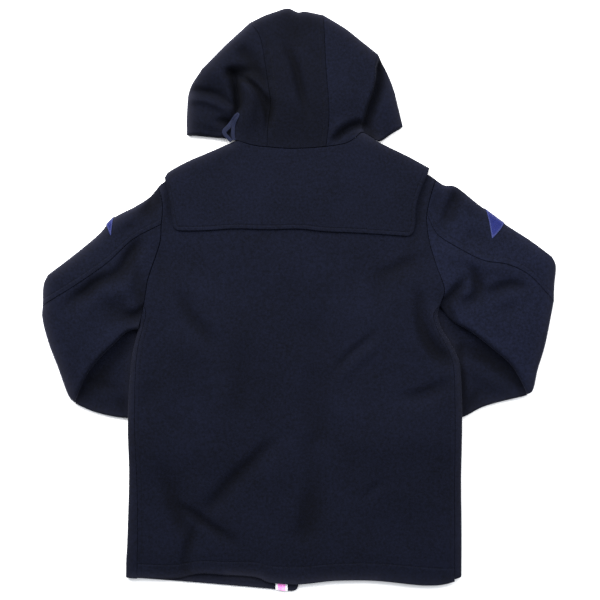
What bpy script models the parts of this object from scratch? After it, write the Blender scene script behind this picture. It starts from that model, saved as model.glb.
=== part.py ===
"""Duffle coat of heavy wool melton, lying face down with both sleeves folded under it.

The coat is a stack of cloth on the floor plane z = 0. Each panel that shows is a wall
of melton. What lies hidden below it, such as the turned sleeve, the facings and the
pocket bags, is one rounded solid that shows only as layers at its edges.
Tables are in millimetres: x runs across the coat, y from hem to hood, z up.
"""

import math
from collections import namedtuple

import bmesh
import bpy

MM = 0.001
CLOTH = 3.0             # wall of the melton
GAP = 0.3               # air between neighbouring pieces
LAYER = CLOTH + GAP
SEAM_GAP = GAP / 2      # each panel's share of the air at a seam

BODY_RISE = 15.0        # back, fronts and facings lying flat
HEM_DROP = 3.0          # the body is thinner than that at its hem
HEM_REACH = 60.0        # and thins out over this distance
FOREARM_RISE = 10.0     # the turned lower sleeve, two layers and the air in them
SLEEVE_RISE = 15.0      # the upper sleeve above what it lies on
HOOD_NECK_RISE = 18.3   # hood at the neck seam, level with the yoke
HOOD_RISE = 12.0        # what the hood gains over its neck seam
HOOD_REACH = 90.0       # over this distance

SIDE_RADIUS = 6.5       # roll of the body's side edge
SLEEVE_RADIUS = 7.5     # roll of the sleeve's long edges
ELBOW_RADIUS = 13.0     # roll of the elbow fold
HOOD_RADIUS = 12.0      # roll of the hood's edge
YOKE_RADIUS = 7.0       # roll of the yoke over the shoulder
FOREARM_RADIUS = 5.0    # roll of the turned lower sleeve's edges
DRAPE_FULL = 28.0       # cloth lies at full height this far past the turned sleeve
DRAPE_END = 130.0       # and is back on the floor here
NECK_TUCK = 9.0         # depth that the yoke turns down into the neck seam
NECK_TUCK_START = 6.0   # it starts this far inside the end of the neck seam
NECK_TUCK_REACH = 18.0  # and is down at the floor past this distance

FLAP_RISE = 6.5         # turned hem of the left front, where it shows past the back
OVERLAP_TOP = 5.2       # left front below the right front's overlap
OVERLAP_BASE = 6.8      # underside of the right front's overlap
RIGHT_HEM_SHORT = 4.0   # the right front's hem ends this far inside the back's
STEP_WIDTH = 0.05       # breadth of an upright step, so that no face is degenerate
WRAP_ROLL = 0.8         # most of a front's strip that its rolled edge takes
SHARP_ANGLE = 40.0      # edges sharper than this stay sharp

TAPE_WIDTH = 21.6
TAPE_THICK = 1.0
TAPE_LEFT = -42.3       # its left edge on the left front's facing
TAPE_HIDDEN = 60.0      # length under the back's hem
LOOP_WIDTH = 9.0
LOOP_THICK = 1.0
LOOP_CLEAR = 0.8
PATCH_THICK = 1.0
PATCH_CLEAR = 0.6

ROLL_ANGLES = (-75.0, -35.0, 5.0, 45.0)   # stations round a rolled edge, 90 is its top
UNDER_START = 1.0 - math.cos(math.radians(ROLL_ANGLES[0]))

MELTON = (0.012, 0.016, 0.034)
MELTON_HIDDEN = (0.008, 0.011, 0.024)
BLUE_RIBBON = (0.10, 0.20, 0.62)
BLUE_SATIN = (0.03, 0.07, 0.32)
PINK_TAPE = (0.90, 0.30, 0.60)

# ---- Tables ----------------------------------------------------------------------

# The body from hem to shoulder. Each row has the edges' places and the width of the
# front's strip that wraps round to the side seam. Above the pit no strip is left.
Section = namedtuple("Section", "y left right wrap_left wrap_right")
BODY = [
    Section(-500.0, -312.7, 293.4, 21.0, 12.5),
    Section(-472.0, -312.2, 293.4, 20.5, 12.6),
    Section(-440.0, -310.3, 293.4, 19.5, 12.8),
    Section(-405.0, -309.1, 293.4, 18.5, 13.0),
    Section(-370.0, -308.0, 293.0, 17.0, 13.0),
    Section(-335.0, -307.0, 292.5, 15.5, 12.8),
    Section(-300.0, -306.4, 292.4, 14.0, 12.5),
    Section(-266.0, -307.0, 292.8, 13.5, 12.8),
    Section(-235.0, -307.8, 293.2, 13.0, 13.2),
    Section(-205.0, -307.5, 293.4, 12.5, 13.4),
    Section(-172.0, -306.3, 292.6, 11.5, 13.0),
    Section(-139.0, -304.0, 291.6, 10.0, 12.5),
    Section(-108.0, -301.2, 287.8, 9.0, 12.0),
    Section(-78.0, -296.0, 274.0, 8.0, 11.0),
    Section(-50.0, -288.5, 256.5, 7.5, 9.0),
    Section(-22.0, -281.8, 249.2, 7.0, 7.5),
    Section(-6.0, -278.8, 254.0, 0.6, 0.6),
    Section(17.0, -275.4, 261.7, 0.6, 0.6),
    Section(36.5, -272.5, 257.5, 0.6, 0.6),
    Section(57.0, -266.4, 249.6, 0.6, 0.6),
    Section(84.0, -257.4, 241.2, 0.6, 0.6),
    Section(110.0, -249.9, 234.6, 0.6, 0.6),
    Section(137.3, -248.4, 231.0, 0.6, 0.6),
    Section(154.8, -246.6, 230.8, 0.6, 0.6),
    Section(172.0, -246.2, 234.6, 0.6, 0.6),
    Section(190.0, -249.4, 240.6, 0.6, 0.6),
    Section(210.0, -253.8, 247.2, 0.6, 0.6),
]
PIT_ROW = 16            # first row of the armhole
LEFT_SEAM_ROW = 22      # rows where the sleeves' back seams meet the armholes
RIGHT_SEAM_ROW = 23
LEFT_UNDERARM_ROW = 14  # rows where the sleeves' under edges leave the body
RIGHT_UNDERARM_ROW = 16
TOP_ROW = len(BODY) - 1
TOP_BLEND = 60.0        # the shoulder's slope is taken up over this height
HEM_BLEND = 90.0        # and the hem's waves over this one

# Columns of the back, as shares of its width from one side seam to the other.
LEFT_STEP = 0.3864      # where the fronts' overlap starts
LEFT_EDGE = 0.507       # the left front's own edge
LAP_STEP = 0.0008       # breadth of the left front's step down below the overlap
LAP_CLEAR = 0.001       # air beside the right front's edge and beside the left one's
LAP_RISE = 0.0003       # breadth of the right front's step up onto the left one
BACK_COLUMNS = [0.0, 0.05, 0.12, 0.19, 0.26, 0.325, LEFT_STEP, 0.4476, 0.491, LEFT_EDGE,
                0.56, 0.62, 0.69, 0.76, 0.83, 0.89, 0.95, 1.0]

# Outlines, as x and y.
BACK_HEM = [(-312.7, -498.4), (-214.0, -499.5), (-182.0, -492.0), (-131.0, -494.5),
            (-72.7, -499.5), (-55.0, -507.0), (2.0, -511.0), (62.5, -505.0),
            (140.0, -505.0), (229.0, -513.5), (262.0, -511.5), (293.4, -502.2)]
LEFT_HEM = [(-312.7, -499.4), (-206.6, -507.2), (-130.9, -513.5), (-43.7, -521.3),
            (-10.3, -524.2), (-0.9, -516.0), (20.0, -516.0)]
BACK_TOP = [(-254.0, 206.0), (-244.0, 214.0), (-229.0, 226.0), (-198.0, 242.0),
            (-120.0, 274.0), (-74.0, 268.0), (-25.0, 264.3), (23.0, 265.0),
            (58.0, 267.6), (100.0, 276.0), (144.0, 275.0), (200.0, 248.5),
            (232.0, 228.0), (248.0, 218.0)]

YOKE_BOTTOM = [(-221.0, 128.5), (-177.5, 126.4), (-115.6, 130.0), (-55.8, 128.5),
               (2.0, 129.6), (43.0, 125.3), (105.0, 122.4), (187.7, 117.0),
               (200.0, 120.0)]
YOKE_LEFT = [(-221.0, 128.5), (-227.2, 139.9), (-229.1, 150.1), (-233.3, 181.1),
             (-237.6, 201.8), (-242.1, 223.0)]
YOKE_RIGHT = [(200.0, 120.0), (206.3, 127.4), (209.5, 139.9), (211.5, 171.0),
              (218.7, 197.6), (231.1, 226.8), (235.3, 240.1)]
SHOULDER_LEFT = [(-242.1, 223.0), (-237.6, 230.8), (-229.1, 236.9), (-198.2, 253.4),
                 (-160.0, 269.4), (-125.0, 284.4)]
NECK = [(-125.0, 284.4), (-112.0, 288.0), (-92.0, 282.2), (-74.0, 278.3), (-57.4, 276.8),
        (-40.0, 275.2), (-18.0, 274.0), (4.0, 274.3), (26.0, 275.3), (48.6, 277.4),
        (68.0, 280.0), (87.3, 284.6), (101.0, 293.0), (113.0, 303.0)]
SHOULDER_RIGHT = [(113.0, 303.0), (128.0, 296.0), (144.4, 286.6), (172.0, 273.2),
                  (199.8, 259.7), (220.0, 248.6), (235.3, 240.1)]
NECK_LEFT_SEAM = 4      # rows of NECK where the hood's seams stand
NECK_RIGHT_SEAM = 9
NECK_CLEAR = 0.6        # the hood starts this far above the neck line

HOOD_LEFT = [(-202.7, 299.2), (-202.0, 342.5), (-197.1, 381.1), (-174.6, 416.5)]
HOOD_TOP_LEFT = [(-174.6, 416.5), (-132.8, 459.9), (-110.0, 481.0), (-89.5, 500.0)]
HOOD_SEAM_LEFT = [(-57.4, 277.4), (-55.8, 316.8), (-50.9, 358.6), (-54.2, 381.1),
                  (-62.1, 435.8), (-71.8, 477.5), (-89.5, 500.0)]
HOOD_TOP = [(-89.5, 500.0), (-63.7, 513.0), (-41.4, 520.9), (-20.0, 526.7),
            (-1.1, 519.3), (8.0, 520.9), (43.9, 514.4)]
HOOD_SEAM_RIGHT = [(48.6, 278.0), (53.1, 316.8), (53.6, 349.2), (48.6, 413.3),
                   (45.5, 477.5), (43.9, 514.4)]
HOOD_TOP_RIGHT = [(43.9, 514.4), (85.7, 488.7), (109.8, 469.4), (142.0, 443.7)]
HOOD_RIGHT = [(187.6, 314.0), (178.9, 349.2), (170.8, 381.1), (158.0, 413.3),
              (142.0, 443.7)]
LEFT_FLAP = [(-202.7, 299.2), (-178.0, 297.0), (-155.0, 294.9), (-131.4, 292.7)]
RIGHT_FLAP = [(128.0, 297.2), (145.1, 288.0), (166.0, 300.4), (187.6, 314.0)]

# One sleeve's edges from armhole to elbow, its elbow fold from the outer edge to the
# inner one, and the turned lower sleeve's edges from elbow to cuff.
Sleeve = namedtuple("Sleeve", "outer seam inner elbow_top elbow_under "
                              "lower_upper_edge lower_lower_edge")
LEFT_SLEEVE = Sleeve(
    outer=[(-254.0, 212.0), (-271.1, 186.5), (-296.5, 170.1), (-335.2, 149.4),
           (-359.1, 122.4), (-409.9, 79.2), (-452.0, 47.0)],
    seam=[(-248.4, 137.3), (-299.5, 110.5), (-344.2, 68.6), (-389.0, 36.0),
          (-461.2, -9.0)],
    inner=[(-290.5, -50.0), (-308.3, -55.3), (-335.2, -80.6), (-359.1, -104.4),
           (-380.0, -131.4), (-404.0, -183.0)],
    elbow_top=[(-452.0, 47.0), (-459.6, 30.0), (-461.2, -9.0)],
    elbow_under=[(-461.2, -9.0), (-462.4, -27.0), (-451.8, -71.6), (-433.8, -119.3),
                 (-413.0, -174.0), (-404.0, -183.0)],
    lower_upper_edge=[(-440.0, 12.0), (-300.0, -22.0), (-160.0, -74.0)],
    lower_lower_edge=[(-396.0, -190.0), (-371.0, -199.8), (-335.2, -208.8),
                      (-308.3, -212.0), (-172.0, -234.0)],
)
RIGHT_SLEEVE = Sleeve(
    outer=[(247.7, 220.9), (262.6, 209.0), (280.6, 207.5), (319.3, 177.7),
           (371.5, 138.8), (414.9, 110.5), (455.0, 80.0)],
    seam=[(230.8, 154.8), (248.8, 121.1), (286.0, 95.4), (330.7, 72.9),
          (375.3, 65.3), (412.2, 46.8), (458.4, -1.6)],
    inner=[(254.0, -6.0), (275.0, -35.0), (311.9, -57.4), (349.2, -87.1),
           (382.7, -117.0), (411.0, -168.0)],
    elbow_top=[(455.0, 80.0), (461.9, 65.7), (459.4, 27.0), (458.4, -1.6)],
    elbow_under=[(458.4, -1.6), (455.2, -18.0), (441.7, -83.5), (429.8, -122.4),
                 (419.0, -164.0), (411.0, -168.0)],
    lower_upper_edge=[(440.0, 36.0), (300.0, 2.0), (158.0, -58.0)],
    lower_lower_edge=[(400.0, -172.5), (334.3, -190.5), (292.5, -211.0),
                      (170.0, -236.0)],
)

# Largest folds: a line in plan, how far it rises or sinks, and its half width.
Fold = namedtuple("Fold", "x0 y0 x1 y1 rise width")
BODY_FOLDS = [
    Fold(-236, -329, -193, -401, -3.0, 22), Fold(-193, -401, -113, -445, -3.0, 20),
    Fold(-150, -330, -90, -300, 2.0, 30), Fold(-171, -380, -193, -450, -2.0, 20),
    Fold(16, -337, -5, -430, -2.5, 26), Fold(-60, -400, -60, -470, 2.0, 30),
    Fold(-205, 30, -180, -60, -2.0, 30), Fold(67, -128, 144, -56, 2.0, 22),
    Fold(-120, 0, 160, 80, 1.5, 45), Fold(215, 0, 235, -70, -2.5, 24),
    Fold(150, -300, 190, -420, 2.0, 40), Fold(-270, -220, -268, -420, 1.5, 24),
]
SLEEVE_FOLDS = [
    Fold(-286, -5, -336, -20, -4.0, 18), Fold(-330, 80, -300, 20, -2.5, 20),
    Fold(-275, 60, -300, 90, 2.0, 18), Fold(-350, 25, -430, -60, 2.0, 34),
    Fold(278, -8, 296, 48, -4.0, 16), Fold(292, -12, 340, 4, 2.5, 18),
    Fold(324, 66, 330, 30, -2.5, 16), Fold(350, 10, 430, -60, 2.0, 34),
    Fold(278, 196, 268, 150, -2.5, 14), Fold(-300, 160, -262, 186, -2.5, 14),
]
HOOD_FOLDS = [
    Fold(-126, 416, -112, 400, -5.0, 12), Fold(-112, 400, -108, 350, -8.0, 12),
    Fold(-101, 402, -64, 374, -4.0, 12), Fold(-64, 374, -54, 350, -4.0, 12),
    Fold(-98, 372, -84, 340, 4.0, 20), Fold(-22, 443, 10, 355, -3.0, 15),
    Fold(56, 296, 110, 315, -4.0, 13), Fold(-150, 345, -118, 330, -3.0, 12),
    Fold(95, 430, 100, 350, 2.0, 32), Fold(-20, 500, -10, 470, -3.0, 30),
    Fold(-185, 350, -140, 322, 2.5, 20),
]

# The hood's side falls away past its two long folds, from this line outwards.
Drop = namedtuple("Drop", "line side depth width start end")
RIGHT_DROP = Drop([(304, 119.5), (320, 113), (342, 119.5), (375, 132), (404, 137),
                   (423, 135.5), (442, 142)], 1.0, 13.0, 14.0, 426.0, 446.0)
LEFT_DROP = Drop([(300, -122), (336, -112), (349, -107), (375, -110), (400, -114)],
                 -1.0, 10.0, 18.0, 372.0, 424.0)

# Middle line of the ribbon loop at the neck.
LOOP_PATH = [(-111.0, 337.5), (-117.5, 327.0), (-126.0, 315.5), (-133.5, 306.0),
             (-137.5, 297.5), (-133.5, 290.0), (-125.0, 286.0)]

# Sewn lozenge badges that lie round the sleeves' outer edges: place along the edge,
# half length along it, half length across it, and where the inner tip stands.
Badge = namedtuple("Badge", "name at half_length half_girth tip")
LEFT_BADGE = Badge("badge_left", 0.42, 22.0, 60.0, 24.0)
RIGHT_BADGE = Badge("badge_right", 0.50, 22.0, 60.0, 46.0)
BADGE_LOWEST = -45.0    # it ends at this angle on the roll, just above the floor
BADGE_TIP = 0.6         # half width of its blunt tip


# ---- Geometry --------------------------------------------------------------------

def smooth(t):
    """Ease from 0 to 1."""
    t = min(1.0, max(0.0, t))
    return t * t * (3.0 - 2.0 * t)


def lookup(table, key):
    """Value on a table of (key, value) rows, straight between them."""
    if key <= table[0][0]:
        return table[0][1]
    for (key0, value0), (key1, value1) in zip(table, table[1:]):
        if key <= key1:
            return value0 + (value1 - value0) * (key - key0) / (key1 - key0)
    return table[-1][1]


def shares(points):
    """How far along a polyline each of its points stands, from 0 to 1."""
    lengths = [0.0]
    for a, b in zip(points, points[1:]):
        lengths.append(lengths[-1] + math.dist(a[:2], b[:2]))
    return [length / lengths[-1] for length in lengths]


def along(points, t):
    """Point on a polyline at a share of its length."""
    stops = shares(points)
    return (lookup(list(zip(stops, [p[0] for p in points])), t),
            lookup(list(zip(stops, [p[1] for p in points])), t))


def segment_distance(x, y, x0, y0, x1, y1):
    dx, dy = x1 - x0, y1 - y0
    t = ((x - x0) * dx + (y - y0) * dy) / (dx * dx + dy * dy)
    t = min(1.0, max(0.0, t))
    return math.hypot(x - x0 - t * dx, y - y0 - t * dy)


def relief(folds, x, y):
    """Rise of all folds at one place, each a soft ridge or trough along its line."""
    total = 0.0
    for fold in folds:
        distance = segment_distance(x, y, fold.x0, fold.y0, fold.x1, fold.y1)
        total += fold.rise * math.exp(-(distance / fold.width) ** 2)
    return total


def outside(polygon, x, y):
    """Distance from a polygon, 0 inside it."""
    inside = False
    nearest = math.inf
    for (x0, y0), (x1, y1) in zip(polygon, polygon[1:] + polygon[:1]):
        nearest = min(nearest, segment_distance(x, y, x0, y0, x1, y1))
        if (y0 > y) != (y1 > y) and x < x0 + (x1 - x0) * (y - y0) / (y1 - y0):
            inside = not inside
    return 0.0 if inside else nearest


def lower_sleeve_outline(sleeve):
    return sleeve.lower_upper_edge + sleeve.lower_lower_edge[::-1]


def bed(x, y):
    """Underside of what lies on a turned lower sleeve, 0 where it lies on the floor."""
    distance = min(outside(lower_sleeve_outline(sleeve), x, y)
                   for sleeve in (LEFT_SLEEVE, RIGHT_SLEEVE))
    fall = smooth((distance - DRAPE_FULL) / (DRAPE_END - DRAPE_FULL))
    return (FOREARM_RISE + GAP) * (1.0 - fall)


def floor(x, y):
    """Underside of what lies on the floor."""
    return 0.0


def body_top(x, y):
    hem = smooth(1.0 - (y - BODY[0].y) / HEM_REACH)
    return BODY_RISE + bed(x, y) + relief(BODY_FOLDS, x, y) - HEM_DROP * hem


def sleeve_top(x, y):
    return SLEEVE_RISE + bed(x, y) + relief(SLEEVE_FOLDS, x, y)


def forearm_top(x, y):
    return FOREARM_RISE


def yoke_top(x, y):
    return body_top(x, y) + LAYER


def drop(fold, x, y):
    """Fall of the hood's side past one of its long folds."""
    past = fold.side * (x - lookup(fold.line, y))
    fade = 1.0 - smooth((y - fold.start) / (fold.end - fold.start))
    return fold.depth * smooth(past / fold.width) * fade


def hood_top(x, y):
    rise = HOOD_RISE * smooth((y - NECK[NECK_LEFT_SEAM][1]) / HOOD_REACH)
    fall = drop(RIGHT_DROP, x, y) + drop(LEFT_DROP, x, y)
    return HOOD_NECK_RISE + rise + relief(HOOD_FOLDS, x, y) - fall * rise / HOOD_RISE


def coons(first, last, left, right):
    """Patch between four edges: first and last run across, left and right along."""
    corners = (first[0], first[-1], last[0], last[-1])

    def patch(u, v):
        a, b, c, d = along(first, v), along(last, v), along(left, u), along(right, u)
        point = []
        for k in range(2):
            p00, p01, p10, p11 = (corner[k] for corner in corners)
            bilinear = ((1 - u) * ((1 - v) * p00 + v * p01) + u * ((1 - v) * p10 + v * p11))
            point.append((1 - u) * a[k] + u * b[k] + (1 - v) * c[k] + v * d[k] - bilinear)
        return tuple(point)
    return patch


# One row or column of a panel: its share of the flat width, its angle on a roll, and
# the end that the roll is at.
Station = namedtuple("Station", "at angle end")


def stations(at, start_rolled, end_rolled):
    flat = [Station(share, 90.0, 0) for share in at]
    start = [Station(0.0, angle, -1) for angle in ROLL_ANGLES] if start_rolled else []
    end = [Station(1.0, angle, 1) for angle in reversed(ROLL_ANGLES)] if end_rolled else []
    return start + flat + end


def even(count):
    return [i / count for i in range(count + 1)]


# Low is the panel's underside, and end_low the one that its last, rolled row turns to.
Panel = namedtuple("Panel", "patch rows columns row_radius column_radius top low "
                            "end_low clear")


def under_inset(radius, angle):
    """How far inside a rolled edge the flat underside's point for an angle lies."""
    turned = (angle - ROLL_ANGLES[0]) / (90.0 - ROLL_ANGLES[0])
    return radius * (UNDER_START + (1.0 - UNDER_START) * turned)


def share_of(line, station, length, radius, clear, depth, under):
    """Where a station stands on a line across the panel, as a share of its length."""
    if station.end:
        inset = radius - (radius - depth) * math.cos(math.radians(station.angle))
        if under:
            inset = under_inset(radius, station.angle)
        return inset / length if station.end < 0 else 1.0 - inset / length
    distance = station.at * length
    if line[0].end:
        distance = max(distance, radius * (1.0 + station.at))
    else:
        distance += clear * (1.0 - station.at)
    if line[-1].end:
        distance = min(distance, length - radius * (2.0 - station.at))
    else:
        distance -= clear * station.at
    return distance / length


def panel_plan(panel, row, column, depth, under=False):
    """Place in plan of a row and a column, whose shares depend on each other."""
    patch = panel.patch
    row_share, column_share = row.at, column.at
    for _ in range(2):
        length = math.dist(patch(0.0, column_share), patch(1.0, column_share))
        row_share = share_of(panel.rows, row, length, panel.row_radius,
                             panel.clear, depth, under)
        width = math.dist(patch(row_share, 0.0), patch(row_share, 1.0))
        column_share = share_of(panel.columns, column, width, panel.column_radius,
                                SEAM_GAP, depth, under)
    return patch(row_share, column_share)


def panel_point(panel, row, column, depth):
    """Point at a depth below the cloth's outer face, round the rolled edges too."""
    x, y = panel_plan(panel, row, column, depth)
    top = panel.top(x, y)
    if not row.end and not column.end:
        return x, y, top - depth
    turn = min(math.sin(math.radians(row.angle)), math.sin(math.radians(column.angle)))
    base = panel.end_low(x, y) if row.end else panel.low(x, y)
    half = (top - base) / 2.0
    return x, y, base + half + (half - depth) * turn


def panel_grid(panel, depth):
    return [[panel_point(panel, row, column, depth) for column in panel.columns]
            for row in panel.rows]


def under_grid(panel):
    """Flat underside of a rolled solid, just inside its rolled edges."""
    grid = []
    for row in panel.rows:
        plan = [panel_plan(panel, row, column, 0.0, True) for column in panel.columns]
        grid.append([(x, y, panel.low(x, y)) for x, y in plan])
    return grid


def filling(panels):
    """Hidden layers below panels that stand side by side: upper and lower grid."""
    upper = []
    first = panels[0]
    for row in first.rows:
        if row.end:
            continue
        line = []
        for index, panel in enumerate(panels):
            flat = [column for column in panel.columns if not column.end]
            for column in flat[1 if index else 0:]:
                line.append(panel_point(panel, row, column, LAYER))
        upper.append(line)
    lower = [[(x, y, first.low(x, y)) for x, y, _ in line] for line in upper]
    return upper, lower


# ---- Objects ---------------------------------------------------------------------

def clear_scene():
    for item in list(bpy.data.objects):
        bpy.data.objects.remove(item, do_unlink=True)


def make_material(name, colour, roughness):
    material = bpy.data.materials.new(name)
    material.use_nodes = True
    shader = material.node_tree.nodes["Principled BSDF"]
    shader.inputs["Base Color"].default_value = (*colour, 1.0)
    shader.inputs["Roughness"].default_value = roughness
    shader.inputs["Metallic"].default_value = 0.0
    material.diffuse_color = (*colour, 1.0)
    return material


def solid(name, upper, lower, material, collection):
    """Closed solid between two grids of the same rows and columns, in millimetres."""
    mesh_data = bmesh.new()
    rows, columns = len(upper), len(upper[0])
    corner = [[[mesh_data.verts.new([value * MM for value in point]) for point in line]
               for line in grid] for grid in (upper, lower)]
    for i in range(rows - 1):
        for j in range(columns - 1):
            for grid in corner:
                a, b = grid[i][j], grid[i][j + 1]
                c, d = grid[i + 1][j + 1], grid[i + 1][j]
                ring = (a, b, c, d) if grid is corner[0] else (a, d, c, b)
                mesh_data.faces.new((ring[0], ring[1], ring[2]))
                mesh_data.faces.new((ring[0], ring[2], ring[3]))
    rim = [(0, j) for j in range(columns)]
    rim += [(i, columns - 1) for i in range(1, rows)]
    rim += [(rows - 1, j) for j in range(columns - 2, -1, -1)]
    rim += [(i, 0) for i in range(rows - 2, 0, -1)]
    for (i0, j0), (i1, j1) in zip(rim, rim[1:] + rim[:1]):
        a, b = corner[0][i0][j0], corner[1][i0][j0]
        c, d = corner[1][i1][j1], corner[0][i1][j1]
        mesh_data.faces.new((a, b, c))
        mesh_data.faces.new((a, c, d))
    bmesh.ops.recalc_face_normals(mesh_data, faces=mesh_data.faces)
    if mesh_data.calc_volume(signed=True) < 0.0:
        bmesh.ops.reverse_faces(mesh_data, faces=mesh_data.faces)
    mesh = bpy.data.meshes.new(name)
    mesh_data.to_mesh(mesh)
    mesh_data.free()
    mesh.shade_smooth()
    mesh.set_sharp_from_angle(angle=math.radians(SHARP_ANGLE))
    mesh.materials.append(material)
    item = bpy.data.objects.new(name, mesh)
    collection.objects.link(item)
    return item


def wall(name, panel, material, collection):
    """One layer of cloth on a panel."""
    return solid(name, panel_grid(panel, 0.0), panel_grid(panel, CLOTH),
                 material, collection)


# ---- Body ------------------------------------------------------------------------

def body_edge(row, side):
    """Edge of the body on one row, as x, y and the wrap of the front's strip there."""
    section = BODY[row]
    edge_x = section.left if side < 0 else section.right
    wrap = section.wrap_left if side < 0 else section.wrap_right
    return edge_x, body_y(row, edge_x), wrap


def body_y(row, x):
    """Height of a row at one place: level in the middle, following hem and shoulder."""
    y = BODY[row].y
    hem_share = smooth(1.0 - (y - BODY[0].y) / HEM_BLEND)
    top_share = smooth(1.0 - (BODY[TOP_ROW].y - y) / TOP_BLEND)
    return (y + hem_share * (lookup(BACK_HEM, x) - BODY[0].y)
            + top_share * (lookup(BACK_TOP, x) - BODY[TOP_ROW].y))


def back_plan(row, share):
    """Place in plan of a share of the back's width, from one side seam to the other."""
    left_x, _, left_wrap = body_edge(row, -1)
    right_x, _, right_wrap = body_edge(row, 1)
    first = left_x + left_wrap + GAP
    last = right_x - right_wrap - GAP
    x = first + (last - first) * share
    return x, body_y(row, x)


def build_back(material, collection):
    upper, lower = [], []
    for row in range(len(BODY)):
        plan = [back_plan(row, share) for share in BACK_COLUMNS]
        upper.append([(x, y, body_top(x, y)) for x, y in plan])
        lower.append([(x, y, body_top(x, y) - CLOTH) for x, y in plan])
    return solid("back_panel", upper, lower, material, collection)


def front_side(row, side):
    """Rolled edge and strip of a front on one row: upper and lower points."""
    edge_x, y, wrap = body_edge(row, side)
    radius = min(SIDE_RADIUS, WRAP_ROLL * wrap)
    inward = -side
    cover = LAYER if row >= PIT_ROW else 0.0
    upper, lower = [], []
    for angle in ROLL_ANGLES:
        turn = math.radians(angle)
        x = edge_x + inward * radius * (1.0 - math.cos(turn))
        under_x = edge_x + inward * under_inset(radius, angle)
        base = bed(edge_x, y)
        half = (body_top(edge_x, y) - cover - base) / 2.0
        upper.append((x, y, base + half * (1.0 + math.sin(turn))))
        lower.append((under_x, y, base))
    strip_end = (radius + wrap) / 2.0 if cover else wrap - 2 * STEP_WIDTH
    for inset, depth in ((radius, cover), (strip_end, cover), (wrap - STEP_WIDTH, LAYER)):
        x = edge_x + inward * inset
        upper.append((x, y, body_top(x, y) - depth))
        lower.append((x, y, bed(x, y)))
    return upper, lower


def build_left_front(material, collection):
    """Left front: strip and rolled edge, body, overlap and the hem below the back's."""
    shares_hidden = [share for share in BACK_COLUMNS if share < LEFT_STEP]
    step = [LEFT_STEP - LAP_STEP, LEFT_STEP]
    shares_low = [share for share in BACK_COLUMNS if LEFT_STEP < share <= LEFT_EDGE]
    upper, lower = [], []
    for row in range(len(BODY)):
        side_upper, side_lower = front_side(row, -1)
        line, under = list(side_upper), list(side_lower)
        for share in shares_hidden + step + shares_low:
            x, y = back_plan(row, share)
            height = body_top(x, y) - LAYER if share < LEFT_STEP else OVERLAP_TOP
            line.append((x, y, height + (bed(x, y) if share >= LEFT_STEP else 0.0)))
            under.append((x, y, bed(x, y)))
        upper.append(line)
        lower.append(under)
    hem_upper, hem_lower = [], []
    for (x, _, z), (under_x, _, base) in zip(upper[0], lower[0]):
        hem_upper.append((x, lookup(LEFT_HEM, x), min(z, FLAP_RISE)))
        hem_lower.append((under_x, lookup(LEFT_HEM, under_x), base))
    return solid("front_left", [hem_upper] + upper, [hem_lower] + lower,
                 material, collection)


def build_right_front(material, collection):
    """Right front, whose edge lies over the left one's."""
    tongue = [LEFT_STEP + LAP_CLEAR]
    tongue += [share for share in BACK_COLUMNS if LEFT_STEP < share < LEFT_EDGE]
    tongue += [LEFT_EDGE + LAP_CLEAR]
    rest = [LEFT_EDGE + LAP_CLEAR + LAP_RISE]
    rest += [share for share in BACK_COLUMNS if share > LEFT_EDGE]
    upper, lower = [], []
    for row in range(len(BODY)):
        short = RIGHT_HEM_SHORT if row == 0 else 0.0
        line, under = [], []
        for share in tongue + rest:
            x, y = back_plan(row, share)
            line.append((x, y + short, body_top(x, y) - LAYER))
            base = OVERLAP_BASE if share in tongue else 0.0
            under.append((x, y + short, bed(x, y) + base))
        side_upper, side_lower = front_side(row, 1)
        upper.append(line + side_upper[::-1])
        lower.append(under + side_lower[::-1])
    return solid("front_right", upper, lower, material, collection)


def yoke_low(x, y):
    """The yoke rolls to the floor over the shoulders and into the seam at the neck."""
    from_neck = max(NECK[0][0] - x, x - NECK[-1][0])
    fall = smooth((from_neck + NECK_TUCK_START) / NECK_TUCK_REACH)
    return (yoke_top(x, y) - NECK_TUCK) * (1.0 - fall)


def build_yoke(material, collection):
    top = SHOULDER_LEFT + NECK[1:] + SHOULDER_RIGHT[1:]
    patch = coons(YOKE_BOTTOM, top, YOKE_LEFT, YOKE_RIGHT)
    rows = stations([0.0, 0.06, 0.2, 0.36, 0.52, 0.68, 0.84, 1.0], False, True)
    panel = Panel(patch, rows, stations(shares(top), False, False),
                  YOKE_RADIUS, 0.0, yoke_top, yoke_low, yoke_low, 0.0)
    return wall("yoke", panel, material, collection)


# ---- Sleeves ---------------------------------------------------------------------

def armhole(side):
    """The armhole's points from the shoulder down to the underarm."""
    last = LEFT_UNDERARM_ROW if side < 0 else RIGHT_UNDERARM_ROW
    return [body_edge(row, side)[:2] for row in range(TOP_ROW, last - 1, -1)]


def sleeve_panels(side):
    sleeve = LEFT_SLEEVE if side < 0 else RIGHT_SLEEVE
    seam_row = LEFT_SEAM_ROW if side < 0 else RIGHT_SEAM_ROW
    hole = armhole(side)
    seam_index = TOP_ROW - seam_row
    head, pit = hole[:seam_index + 1], hole[seam_index:]
    outer = [head[0]] + sleeve.outer[1:]
    seam = [head[-1]] + sleeve.seam[1:]
    inner = [pit[-1]] + sleeve.inner[1:]
    rows = stations(even(11), False, True)
    top = Panel(coons(head, sleeve.elbow_top, outer, seam), rows,
                stations(shares(head), True, False),
                ELBOW_RADIUS, SLEEVE_RADIUS, sleeve_top, bed, floor, GAP)
    under = Panel(coons(pit, sleeve.elbow_under, seam, inner), rows,
                  stations(shares(pit), False, True),
                  ELBOW_RADIUS, SLEEVE_RADIUS, sleeve_top, bed, floor, GAP)
    return top, under


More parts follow.
